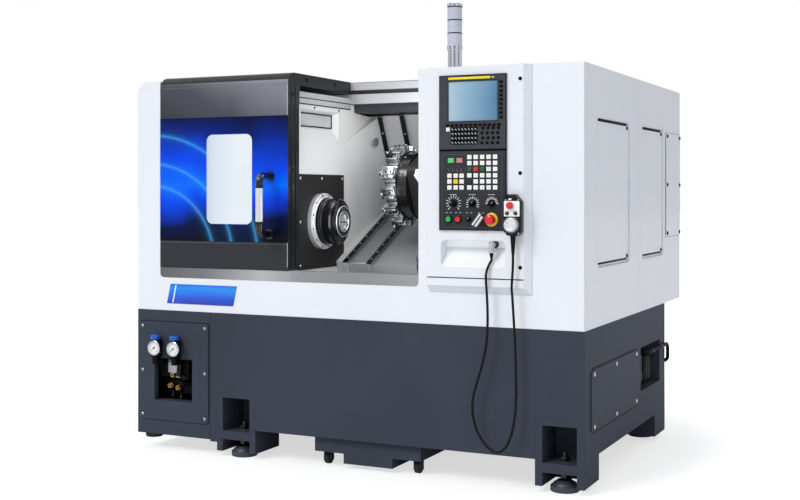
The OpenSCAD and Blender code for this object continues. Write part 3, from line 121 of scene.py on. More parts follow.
class Desk:
    """Lays out the nodes of one material."""

    def __init__(self, name: str) -> None:
        """Starts an empty material with its shader and output."""
        self.material = bpy.data.materials.new(name)
        self.material.use_nodes = True
        self.tree = self.material.node_tree
        self.tree.nodes.clear()
        self.output = self.tree.nodes.new("ShaderNodeOutputMaterial")
        self.shader = self.tree.nodes.new("ShaderNodeBsdfPrincipled")
        self.tree.links.new(self.shader.outputs[0], self.output.inputs[0])

    def add(self, kind: str, **values: object) -> bpy.types.Node:
        """Adds a node and sets or links its inputs.

        Args:
            kind: Blender's name of the node type.
            values: Input names, with spaces as underscores, and a number, colour or socket for each.

        Returns:
            The new node.
        """
        node = self.tree.nodes.new(kind)
        for key, value in values.items():
            self.feed(node, key.replace("_", " "), value)
        return node

    def feed(self, node: bpy.types.Node, key: str | int, value: object) -> None:
        """Sets one input of a node, or links a socket to it."""
        if isinstance(value, bpy.types.NodeSocket):
            self.tree.links.new(value, node.inputs[key])
        else:
            node.inputs[key].default_value = value

    def sum(self, operation: str, first: object, second: object = 0.0,
            third: object = 0.0) -> bpy.types.NodeSocket:
        """Adds a math node.

        Args:
            operation: Blender's name of the operation.
            first: First number or socket.
            second: Second number or socket.
            third: Third number or socket.

        Returns:
            The result's socket.
        """
        node = self.tree.nodes.new("ShaderNodeMath")
        node.operation = operation
        for index, value in enumerate((first, second, third)):
            self.feed(node, index, value)
        return node.outputs[0]

    def mix(self, factor: object, first: object, second: object, blend: str = "MIX") -> bpy.types.NodeSocket:
        """Adds a colour mix and returns its result's socket."""
        node = self.tree.nodes.new("ShaderNodeMix")
        node.data_type = "RGBA"
        node.blend_type = blend
        for index, value in ((0, factor), (6, first), (7, second)):
            self.feed(node, index, value)
        return node.outputs[2]

    def ramp(self, factor: bpy.types.NodeSocket, stops: Sequence[tuple[float, Colour]]) -> bpy.types.NodeSocket:
        """Adds a colour ramp.

        Args:
            factor: Socket that runs from 0 to 1.
            stops: Places on the ramp and their colours.

        Returns:
            The colour's socket.
        """
        node = self.tree.nodes.new("ShaderNodeValToRGB")
        elements = node.color_ramp.elements
        while len(elements) < len(stops):
            elements.new(0.5)
        for element, (place, colour) in zip(elements, stops):
            element.position = place
            element.color = linear(colour)
        self.feed(node, 0, factor)
        return node.outputs[0]

    def place(self, stretch: Point = (1.0, 1.0, 1.0)) -> bpy.types.NodeSocket:
        """Gives object coordinates in metres, stretched along the axes."""
        coordinates = self.tree.nodes.new("ShaderNodeTexCoord")
        mapping = self.tree.nodes.new("ShaderNodeMapping")
        mapping.inputs["Scale"].default_value = stretch
        self.tree.links.new(coordinates.outputs["Object"], mapping.inputs["Vector"])
        return mapping.outputs[0]

    def noise(self, scale: float, stretch: Point = (1.0, 1.0, 1.0),
              detail: float = 3.0) -> bpy.types.NodeSocket:
        """Gives a noise value from 0 to 1 at a scale in features per metre."""
        return self.add("ShaderNodeTexNoise", Vector=self.place(stretch), Scale=scale, Detail=detail).outputs[0]

    def spread(self, factor: bpy.types.NodeSocket, low: float, high: float) -> bpy.types.NodeSocket:
        """Maps the middle of a noise value to a range."""
        node = self.add("ShaderNodeMapRange", Value=factor, From_Min=0.25, From_Max=0.75, To_Min=low,
                        To_Max=high)
        return node.outputs[0]


@dataclass(frozen=True)
class Finish:
    """A finish of one real material: its colour, gloss and fine surface.

    Attributes:
        name: Name of the material.
        colour: Main colour on the screen.
        shade: Second colour of its soft clouds.
        roughness: Middle roughness.
        metallic: 1 for bare metal.
        coat: Weight of a clear coat.
        grain: Kind of fine surface.
        grain_scale: Features of the fine surface in one metre.
        grain_depth: Strength of the fine surface.
        cloud_scale: Clouds in one metre.
        edge: Radius that sheet edges look rounded with.
        glow: Light that a lit piece gives off; on the console's pocket and right side it is painted light.
        clear: Share of light let through.
        gloss: Strength of the mirror reflection.
    """

    name: str
    colour: Colour
    shade: Colour
    roughness: float = 0.45
    metallic: float = 0.0
    coat: float = 0.0
    grain: Grain = Grain.PEEL
    grain_scale: float = 700.0
    grain_depth: float = 0.08
    cloud_scale: float = 2.5
    edge: float = 0.0
    glow: float = 0.0
    clear: float = 0.0
    gloss: float = 0.5

    def material(self) -> bpy.types.Material:
        """Builds the finish's material.

        Returns:
            The material.
        """
        desk = Desk(self.name)
        shader = desk.shader
        clouds = desk.noise(self.cloud_scale)
        colour = desk.mix(desk.spread(clouds, 0.0, 1.0), linear(self.colour), linear(self.shade))
        desk.feed(shader, "Base Color", colour)
        stretch = GRAIN_STRETCH[self.grain]
        fine = desk.noise(self.grain_scale, stretch, 2.0)
        desk.feed(shader, "Roughness", desk.spread(fine, self.roughness - 0.06, self.roughness + 0.06))
        bump = desk.add("ShaderNodeBump", Strength=self.grain_depth, Distance=0.001, Height=fine)
        if self.edge > 0.0:
            bevel = desk.add("ShaderNodeBevel", Radius=self.edge)
            bevel.samples = 4
            desk.feed(bump, "Normal", bevel.outputs[0])
        desk.feed(shader, "Normal", bump.outputs[0])
        shader.inputs["Metallic"].default_value = self.metallic
        shader.inputs["Specular IOR Level"].default_value = self.gloss
        shader.inputs["Coat Weight"].default_value = self.coat
        shader.inputs["Coat Roughness"].default_value = 0.08
        shader.inputs["Transmission Weight"].default_value = self.clear
        if self.glow > 0.0:
            shader.inputs["Emission Color"].default_value = linear(self.colour)
            shader.inputs["Emission Strength"].default_value = self.glow
        return desk.material


WHITE = Finish("white_paint", (240, 243, 249), (235, 239, 247), 0.38, coat=0.15, edge=0.004)
DARK = Finish("dark_paint", (65, 71, 83), (59, 64, 75), 0.5, grain_depth=0.14, edge=0.003, gloss=0.07)
DARK_COVER = Finish("cover_paint", (66, 72, 84), (60, 65, 76), 0.48, grain_depth=0.14, edge=0.002, gloss=0.07)
LINER = Finish("liner_paint", (224, 224, 224), (216, 216, 216), 0.4, edge=0.003, gloss=0.3)
RAIL = Finish("rail_paint", (184, 186, 189), (176, 178, 182), 0.45, edge=0.002, gloss=0.3)
DUCT = Finish("duct_paint", (74, 76, 81), (62, 64, 69), 0.5, grain_depth=0.08, gloss=0.2)
# Painted light: whites that glow although no lamp lights them, used for the console's pocket and its right side.
PAINTED_LIGHT_WHITE = Finish("white_painted_light", (244, 246, 249), (240, 243, 246), 0.5, glow=0.2)
POCKET_FLOOR_PAINTED_LIGHT = Finish("pocket_floor_painted_light", (244, 246, 248), (240, 243, 245), 0.6, glow=0.04, gloss=0.2)
DOOR = Finish("door_paint", (31, 33, 37), (27, 29, 33), 0.3, coat=0.2, grain_depth=0.05, edge=0.004, gloss=0.2)
PLATE_BLACK = Finish("plate_black", (44, 43, 43), (37, 36, 36), 0.4, grain_depth=0.05, edge=0.002, gloss=0.15)
BLACK = Finish("black_plastic", (30, 31, 34), (24, 25, 28), 0.5, grain=Grain.MOULDED, grain_depth=0.12,
               gloss=0.25)
GLOSS_BLACK = Finish("gloss_black", (15, 15, 17), (11, 11, 13), 0.28, grain=Grain.MOULDED, grain_depth=0.02,
                     gloss=0.22)
KEY_BLACK = Finish("key_black", (9, 9, 11), (7, 7, 9), 0.5, grain=Grain.MOULDED, grain_depth=0.05, gloss=0.1)
PANEL = Finish("panel_plastic", (54, 56, 62), (48, 50, 55), 0.55, grain=Grain.MOULDED, grain_depth=0.16,
               gloss=0.16)
DISPLAY = Finish("display_plastic", (68, 70, 77), (62, 64, 70), 0.55, grain=Grain.MOULDED, grain_depth=0.16,
                 gloss=0.16)
PANEL_EDGE = Finish("panel_line", (92, 94, 100), (84, 86, 92), 0.5, grain=Grain.MOULDED)
MARK = Finish("white_mark", (214, 217, 221), (204, 207, 212), 0.6, grain=Grain.MOULDED, grain_depth=0.02)
KEY_WHITE = Finish("white_key", (253, 253, 252), (248, 248, 247), 0.42, grain=Grain.MOULDED, grain_depth=0.05)
KEY_GREY = Finish("grey_key", (120, 122, 127), (108, 110, 115), 0.5, grain=Grain.MOULDED, grain_depth=0.05)
KEY_YELLOW = Finish("yellow_key", (252, 224, 20), (246, 214, 12), 0.42, grain=Grain.MOULDED, grain_depth=0.05)
KEY_GREEN = Finish("green_key", (20, 100, 60), (14, 88, 52), 0.42, grain=Grain.MOULDED, grain_depth=0.05)
KEY_RED = Finish("red_key", (222, 42, 40), (208, 32, 32), 0.4, grain=Grain.MOULDED, grain_depth=0.05)
LIT_GREEN = Finish("lit_green", (70, 190, 100), (96, 206, 122), 0.3, glow=0.12, grain=Grain.MOULDED,
                   cloud_scale=60.0)
LIT_RED = Finish("pale_red", (206, 140, 136), (190, 122, 118), 0.35, grain=Grain.MOULDED, cloud_scale=60.0)
RED = Finish("red_plastic", (234, 22, 36), (220, 14, 28), 0.28, coat=0.4, grain=Grain.MOULDED, grain_depth=0.03)
GREEN = Finish("green_plastic", (24, 192, 88), (14, 172, 74), 0.25, coat=0.5, grain=Grain.MOULDED,
               grain_depth=0.03)
YELLOW = Finish("yellow_plastic", (250, 205, 12), (240, 192, 6), 0.35, coat=0.3, grain=Grain.MOULDED,
                grain_depth=0.03)
BLUE = Finish("blue_plastic", (14, 112, 226), (8, 96, 206), 0.32, coat=0.3, grain=Grain.MOULDED,
              grain_depth=0.05)
STEEL = Finish("ground_steel", (196, 198, 202), (176, 179, 184), 0.26, 1.0, grain=Grain.BRUSHED_X,
               grain_depth=0.06)
TURNED = Finish("turned_steel", (226, 227, 230), (206, 208, 212), 0.22, 0.78, grain=Grain.BRUSHED_X,
                grain_depth=0.05)
NOSE = Finish("nose_steel", (118, 119, 123), (88, 89, 93), 0.2, 0.85, grain=Grain.MOULDED, grain_depth=0.03)
BLUED = Finish("blued_steel", (30, 30, 33), (22, 22, 25), 0.2, 0.4, coat=0.45, grain=Grain.MOULDED,
               grain_depth=0.03)
STAINLESS = Finish("stainless", (204, 207, 211), (182, 186, 191), 0.3, 1.0, grain=Grain.BRUSHED_X,
                   grain_depth=0.1)
COVER_STEEL = Finish("way_cover_steel", (182, 185, 190), (160, 163, 169), 0.36, 0.6, grain=Grain.BRUSHED_X,
                     grain_depth=0.1)
TOWER = Finish("tower_metal", (232, 235, 243), (218, 222, 231), 0.1, 0.95, grain=Grain.BRUSHED_Z,
               grain_depth=0.02)
# Painted light: a lighter, less metallic copy of the way-cover steel, used for the covers' front faces.
COVER_PAINTED_LIGHT = Finish("cover_painted_light", (226, 226, 226), (210, 210, 211), 0.34, 0.3, grain=Grain.BRUSHED_X,
                  grain_depth=0.08)
GRIP = Finish("grip_black", (15, 15, 17), (11, 11, 13), 0.18, coat=0.6, grain=Grain.MOULDED, grain_depth=0.01)
CABLE = Finish("cable_jacket", (14, 14, 15), (10, 10, 11), 0.5, grain=Grain.MOULDED, grain_depth=0.05,
               gloss=0.2)
WHEEL = Finish("wheel_metal", (236, 238, 241), (226, 229, 233), 0.25, 0.35, grain=Grain.BRUSHED_Z,
               grain_depth=0.03)
CHROME = Finish("chrome", (225, 227, 230), (214, 216, 220), 0.1, 1.0, grain=Grain.BRUSHED_Z, grain_depth=0.01)
ZINC = Finish("zinc_plate", (205, 207, 210), (184, 187, 191), 0.3, 0.9, grain=Grain.MOULDED, grain_depth=0.04)
ALUMINIUM = Finish("machined_aluminium", (188, 191, 196), (172, 175, 181), 0.38, 0.85, grain=Grain.BRUSHED_Z)
BRASS = Finish("brass", (214, 172, 92), (196, 150, 72), 0.28, 1.0, grain=Grain.BRUSHED_Y, grain_depth=0.05)
CAST = Finish("cast_paint", (104, 110, 124), (92, 98, 112), 0.55, grain=Grain.CAST, grain_scale=180.0,
              grain_depth=0.25)
RUBBER = Finish("rubber", (26, 26, 28), (20, 20, 22), 0.62, grain=Grain.MOULDED, grain_depth=0.1)
FOOT = Finish("foot_iron", (78, 82, 92), (64, 68, 78), 0.45, 0.3, grain=Grain.CAST, grain_scale=220.0,
              grain_depth=0.2)
DIAL = Finish("dial_white", (244, 245, 246), (236, 238, 240), 0.5, grain=Grain.MOULDED, grain_depth=0.01)
LENS = Finish("lens_clear", (222, 225, 240), (208, 212, 228), 0.14, coat=0.5, clear=0.12, grain=Grain.BRUSHED_Z)
LAMP = Finish("lamp_glass", (196, 199, 203), (176, 179, 184), 0.2, coat=0.3, grain=Grain.BRUSHED_Y,
              cloud_scale=8.0)
STRIP = Finish("yellow_strip", (255, 232, 4), (250, 224, 2), 0.4, grain=Grain.MOULDED, grain_depth=0.02)


@dataclass(frozen=True)
class PrintedFilm:
    """Blue film on the door: a dark to vivid wash with wide rings of light in one corner.

    Attributes:
        name: Name of the material.
        corner: Centre of the rings, across and up.
        low: Height of the film's lower edge.
        high: Height of the film's upper edge.
        rings: Radii of the bright rings.
        ring_width: Width of a ring's glow.
    """

    name: str = "blue_film"
    corner: Flat = (-0.98, 0.86)
    low: float = 0.954
    high: float = 1.505
    rings: tuple[float, ...] = (0.34, 0.44, 0.57)
    ring_width: float = 0.006

    def material(self) -> bpy.types.Material:
        """Builds the film's material.

        Returns:
            The material.
        """
        desk = Desk(self.name)
        split = desk.add("ShaderNodeSeparateXYZ", Vector=desk.place())
        height = desk.sum("DIVIDE", desk.sum("SUBTRACT", split.outputs[2], self.low), self.high - self.low)
        sway = desk.spread(desk.noise(3.0), -0.1, 0.1)
        wash = desk.ramp(desk.sum("ADD", height, sway), (
            (0.0, (2, 5, 20)), (0.16, (2, 14, 66)), (0.36, (0, 70, 236)), (0.48, (0, 108, 255)), (0.62,
                    (0, 72, 240)),
            (0.84, (6, 34, 128)), (1.0, (6, 18, 62))))
        across = desk.sum("SUBTRACT", split.outputs[0], self.corner[0])
        up = desk.sum("SUBTRACT", split.outputs[2], self.corner[1])
        reach = desk.sum("SQRT", desk.sum("ADD", desk.sum("POWER", across, 2.0), desk.sum("POWER", up, 2.0)))
        colour = wash
        for radius in self.rings:
            off = desk.sum("DIVIDE", desk.sum("SUBTRACT", reach, radius), self.ring_width)
            shine = desk.sum("DIVIDE", 0.5, desk.sum("ADD", desk.sum("POWER", desk.sum("ABSOLUTE", off), 2.0),
                                                     1.0))
            colour = desk.mix(shine, colour, linear((74, 186, 255)))
        desk.feed(desk.shader, "Base Color", colour)
        desk.shader.inputs["Roughness"].default_value = 0.3
        desk.shader.inputs["Specular IOR Level"].default_value = 0.12
        fine = desk.noise(900.0)
        desk.feed(desk.shader, "Normal", desk.add("ShaderNodeBump", Strength=0.02, Height=fine).outputs[0])
        return desk.material


@dataclass(frozen=True)
class WashedPlate:
    """Enamelled plate, screen, pane or sheet with a colour that runs from one side to the other; on the sill and
    the door's front that run is a painted reflection.

    Attributes:
        name: Name of the material.
        start: Place where the run begins.
        run: Direction and length of the run.
        stops: Places on the run and their colours.
        roughness: Roughness of the surface.
        glow: Light that a lit screen gives off.
        coat: Weight of a clear coat.
        gloss: Strength of the mirror reflection.
    """

    name: str
    start: Point
    run: Point
    stops: tuple[tuple[float, Colour], ...]
    roughness: float = 0.25
    glow: float = 0.0
    coat: float = 0.3
    gloss: float = 0.5

    def material(self) -> bpy.types.Material:
        """Builds the plate's material.

        Returns:
            The material.
        """
        desk = Desk(self.name)
        offset = desk.tree.nodes.new("ShaderNodeVectorMath")
        offset.operation = "SUBTRACT"
        desk.feed(offset, 0, desk.place())
        desk.feed(offset, 1, self.start)
        dot = desk.tree.nodes.new("ShaderNodeVectorMath")
        dot.operation = "DOT_PRODUCT"
        desk.feed(dot, 0, offset.outputs[0])
        length = Vector(self.run).length_squared
        desk.feed(dot, 1, tuple(c / length for c in self.run))
        sway = desk.spread(desk.noise(5.0), -0.03, 0.03)
        colour = desk.ramp(desk.sum("ADD", dot.outputs["Value"], sway), self.stops)
        desk.feed(desk.shader, "Base Color", colour)
        desk.shader.inputs["Roughness"].default_value = self.roughness
        desk.shader.inputs["Coat Weight"].default_value = self.coat
        desk.shader.inputs["Specular IOR Level"].default_value = self.gloss
        if self.glow > 0.0:
            desk.feed(desk.shader, "Emission Color", colour)
            desk.shader.inputs["Emission Strength"].default_value = self.glow
        fine = desk.noise(800.0)
        desk.feed(desk.shader, "Normal", desk.add("ShaderNodeBump", Strength=0.02, Height=fine).outputs[0])
        return desk.material


AnyFinish = Finish | PrintedFilm | WashedPlate

BUILT: dict[str, bpy.types.Material] = {}


def material_of(finish: AnyFinish) -> bpy.types.Material:
    """Gives a finish's material, which is built once.

    Args:
        finish: The finish.

    Returns:
        Its material.
    """
    if finish.name not in BUILT:
        BUILT[finish.name] = finish.material()
    return BUILT[finish.name]


FILM = PrintedFilm()
NAMEPLATE = WashedPlate("plate_enamel", (-0.90, FRONT, 0.666), (0.0, 0.0, 0.092), (
    (0.0, (6, 44, 176)), (0.35, (10, 84, 222)), (0.8, (28, 148, 244)), (1.0, (14, 100, 226))))
SCREEN = WashedPlate("screen_glass", (0.508, FRONT, 1.456), (0.21, 0.0, 0.0), (
    (0.0, (172, 194, 210)), (0.35, (132, 170, 194)), (1.0, (74, 126, 160))), 0.18, 0.08)
PANE = WashedPlate("window_pane", (-0.684, FRONT, 1.2), (0.246, 0.0, 0.0), (
    (0.0, (204, 217, 227)), (0.2, (222, 232, 241)), (0.6, (235, 242, 249)), (1.0,
            (238, 245, 250))), 0.16, coat=0.3)
# Painted reflection: the sill's steel runs from dark at the left to a bright band and back to mid grey along its
# length.
SILL_PAINTED_REFLECTION = WashedPlate("sill_painted_reflection", (-0.935, FRONT, 0.83), (1.294, 0.0, 0.0), (
    (0.0, (92, 94, 98)), (0.16, (118, 120, 124)), (0.3, (150, 152, 156)), (0.42, (184, 185, 188)), (0.56,
            (146, 147, 149)),
    (0.76, (140, 141, 142)), (1.0, (160, 161, 163))), 0.35, coat=0.0)
# Painted reflection: the door front's paint runs from dark at the lower left to light at the upper right.
DOOR_FRONT_PAINTED_REFLECTION = WashedPlate("door_front_painted_reflection", (-0.933, FRONT, 0.90), (0.357, 0.0, 0.833), (
    (0.0, (50, 52, 57)), (0.3, (50, 52, 57)), (0.62, (58, 60, 67)), (0.8, (76, 79, 87)), (1.0,
            (132, 135, 144))), 0.36, coat=0.0, gloss=0.2)


class Shape:
    """Gathers bevelled solids into the one mesh of a piece."""

    def __init__(self, name: str) -> None:
        """Starts an empty piece."""
        self.name = name
        self.mesh = bmesh.new()
        self.finishes: list[AnyFinish] = []

    def _take(self, part: bmesh.types.BMesh, finish: AnyFinish) -> None:
        """Moves a solid into the piece, in a finish."""
        if finish not in self.finishes:
            self.finishes.append(finish)
        index = self.finishes.index(finish)
        bmesh.ops.recalc_face_normals(part, faces=part.faces[:])
        for face in part.faces:
            face.material_index = index
        scratch = bpy.data.meshes.new("scratch")
        part.to_mesh(scratch)
        part.free()
        self.mesh.from_mesh(scratch)
        bpy.data.meshes.remove(scratch)

    @staticmethod
    def _round(part: bmesh.types.BMesh, radius: float, steps: int = 2) -> None:
        """Rounds the sharp edges of a solid."""
        if radius <= 0.0:
            return
        sharp = [e for e in part.edges if e.is_manifold and e.calc_face_angle(0.0) > SHARP_ANGLE]
        bmesh.ops.bevel(part, geom=sharp, offset=radius, segments=steps, profile=0.5, affect="EDGES",
                        clamp_overlap=True)

    def block(self, low: Sequence[float], high: Sequence[float], finish: AnyFinish, radius: float = 0.001,
              turn: Optional[Matrix] = None) -> None:
        """Adds a block with rounded edges.

        Args:
            low: Lowest corner.
            high: Highest corner.
            finish: Finish of the block.
            radius: Radius of its edges.
            turn: Movement that is applied to it at the end.
        """
        part = bmesh.new()
        bmesh.ops.create_cube(part, size=1.0)
        lo, hi = Vector(low), Vector(high)
        size = hi - lo
        bmesh.ops.transform(part, matrix=Matrix.Translation((lo + hi) / 2) @ Matrix.Diagonal((*size, 1.0)),
                            verts=part.verts)
        self._round(part, radius)
        if turn is not None:
            bmesh.ops.transform(part, matrix=turn, verts=part.verts)
        self._take(part, finish)

    def turned(self, centre: Sequence[float], axis: Sequence[float], profile: Sequence[Flat], finish: AnyFinish,
               sides: int = 40) -> None:
        """Adds a turned solid.

        Args:
            centre: Point on the axis where the profile starts.
            axis: Direction of the axis.
            profile: Pairs of distance along the axis and radius.
            finish: Finish of the solid.
            sides: Number of flats around it.
        """
        part = bmesh.new()
        rings: list[list[bmesh.types.BMVert]] = []
        for along, radius in profile:
            if radius < 1e-6:
                rings.append([part.verts.new((0.0, 0.0, along))])
                continue
            angles = (math.tau * i / sides for i in range(sides))
            rings.append([part.verts.new((radius * math.cos(a), radius * math.sin(a), along)) for a in angles])
        for one, two in zip(rings, rings[1:]):
            for i in range(sides):
                j = (i + 1) % sides
                corners = [one[i % len(one)], one[j % len(one)], two[j % len(two)], two[i % len(two)]]
                corners = list(dict.fromkeys(corners))
                if len(corners) > 2:
                    part.faces.new(corners)
        for ring in (rings[0], rings[-1]):
            if len(ring) > 2 and profile[0] != profile[-1]:
                part.faces.new(ring)
        bmesh.ops.remove_doubles(part, verts=part.verts, dist=1e-7)
        turn = Vector(UP).rotation_difference(Vector(axis)).to_matrix().to_4x4()
        bmesh.ops.transform(part, matrix=Matrix.Translation(Vector(centre)) @ turn, verts=part.verts)
        self._take(part, finish)

    def rod(self, start: Sequence[float], end: Sequence[float], radius: float, finish: AnyFinish,
            edge: float = 0.0008,
            sides: int = 32) -> None:
        """Adds a rod with chamfered ends.

        Args:
            start: Centre of its first end.
            end: Centre of its other end.
            radius: Its radius.
            finish: Finish of the rod.
            edge: Size of its chamfers.
            sides: Number of flats around it.
        """
        run = Vector(end) - Vector(start)
        length = run.length
        edge = min(edge, length / 3, radius / 2)
        profile = ((0.0, 0.0), (0.0, radius - edge), (edge, radius), (length - edge, radius),
                   (length, radius - edge), (length, 0.0))
        self.turned(start, run.normalized(), profile, finish, sides)

    def plate(self, outline: Sequence[Flat], origin: Sequence[float], across: Sequence[float],
              up: Sequence[float],
              depth: float, finish: AnyFinish, radius: float = 0.0) -> None:
        """Adds a flat plate of any outline.

        Args:
            outline: Corners of the outline, across and up.
            origin: Point that the outline is measured from.
            across: Unit direction across.
            up: Unit direction up.
            depth: Thickness, in the direction of across times up.
            finish: Finish of the plate.
            radius: Radius of its edges.
        """
        part = bmesh.new()
        u, v = Vector(across), Vector(up)
        face = part.faces.new([part.verts.new(Vector(origin) + u * a + v * b) for a, b in outline])
        grown = bmesh.ops.extrude_face_region(part, geom=[face])
        moved = [g for g in grown["geom"] if isinstance(g, bmesh.types.BMVert)]
        bmesh.ops.translate(part, vec=u.cross(v) * depth, verts=moved)
        self._round(part, radius)
        self._take(part, finish)

    def front_plate(self, outline: Sequence[Flat], y: float, depth: float, finish: AnyFinish,
                    radius: float = 0.0) -> None:
        """Adds a plate that faces the front and stands forward of y by its depth."""
        self.plate(outline, (0.0, y, 0.0), ACROSS, UP, depth, finish, radius)

    def ring(self, outer: Sequence[Flat], inner: Sequence[Flat], origin: Sequence[float],
             across: Sequence[float],
             up: Sequence[float], depth: float, finish: AnyFinish) -> None:
        """Adds a flat ring between two outlines of as many points.

        Args:
            outer: Points of the outer outline.
            inner: Points of the inner outline.
            origin: Point that the outlines are measured from.
            across: Unit direction across.
            up: Unit direction up.
            depth: Thickness, in the direction of across times up.
            finish: Finish of the ring.
        """
        count = len(outer)
        for i in range(count):
            j = (i + 1) % count
            if (Vector(outer[i]) - Vector(outer[j])).length > 1e-6:
                self.plate([outer[i], outer[j], inner[j], inner[i]], origin, across, up, depth, finish)

    def pipe(self, route: Sequence[Sequence[float]], radius: float, finish: AnyFinish, sides: int = 16) -> None:
        """Adds a round pipe along a route, with flat ends."""
        part = bmesh.new()
        points = [Vector(p) for p in route]
        rings = []
        side = Vector((0.31, 0.57, 0.76))
        for i, point in enumerate(points):
            ahead = (points[min(i + 1, len(points) - 1)] - points[max(i - 1, 0)]).normalized()
            side = (side - ahead * side.dot(ahead)).normalized()
            other = ahead.cross(side)
            angles = (math.tau * k / sides for k in range(sides))
            spokes = [side * math.cos(a) + other * math.sin(a) for a in angles]
            rings.append([part.verts.new(point + spoke * radius) for spoke in spokes])
        for one, two in zip(rings, rings[1:]):
            for k in range(sides):
                part.faces.new((one[k], one[(k + 1) % sides], two[(k + 1) % sides], two[k]))
        part.faces.new(rings[0])
        part.faces.new(rings[-1])
        self._take(part, finish)

    def make(self, body: str, replaces: Iterable[str] = ()) -> bpy.types.Object:
        """Turns the gathered solids into a piece that rides on a body.

        Args:
            body: Name of the CAD body.
            replaces: CAD nodes that the piece stands for.

        Returns:
            The new object.
        """
        for face in self.mesh.faces:
            face.smooth = True
        for edge in self.mesh.edges:
            edge.smooth = edge.is_manifold and edge.calc_face_angle(0.0) < SMOOTH_ANGLE
        mesh = bpy.data.meshes.new(self.name)
        self.mesh.to_mesh(mesh)
        self.mesh.free()
        for finish in self.finishes:
            mesh.materials.append(material_of(finish))
        piece = added(self.name, mesh)
        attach(piece, body)
        nodes = tuple(replaces)
        if nodes:
            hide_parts(*nodes)
        LOG.info("%s rides on %s, %d faces", self.name, body, len(mesh.polygons))
        return piece


def rounded(low: Flat, high: Flat, radius: float, steps: int = 6) -> list[Flat]:
    """Gives the outline of a rectangle with rounded corners.

    Args:
        low: Lower left corner.
        high: Upper right corner.
        radius: Radius of the corners.
        steps: Number of steps around a corner.

    Returns:
        The outline's points, in order.
    """
    centres = ((high[0] - radius, high[1] - radius), (low[0] + radius, high[1] - radius),
               (low[0] + radius, low[1] + radius), (high[0] - radius, low[1] + radius))
    points = []
    for quarter, (cx, cz) in enumerate(centres):
        for i in range(steps + 1):
            angle = math.pi / 2 * (quarter + i / steps)
            points.append((cx + radius * math.cos(angle), cz + radius * math.sin(angle)))
    return points


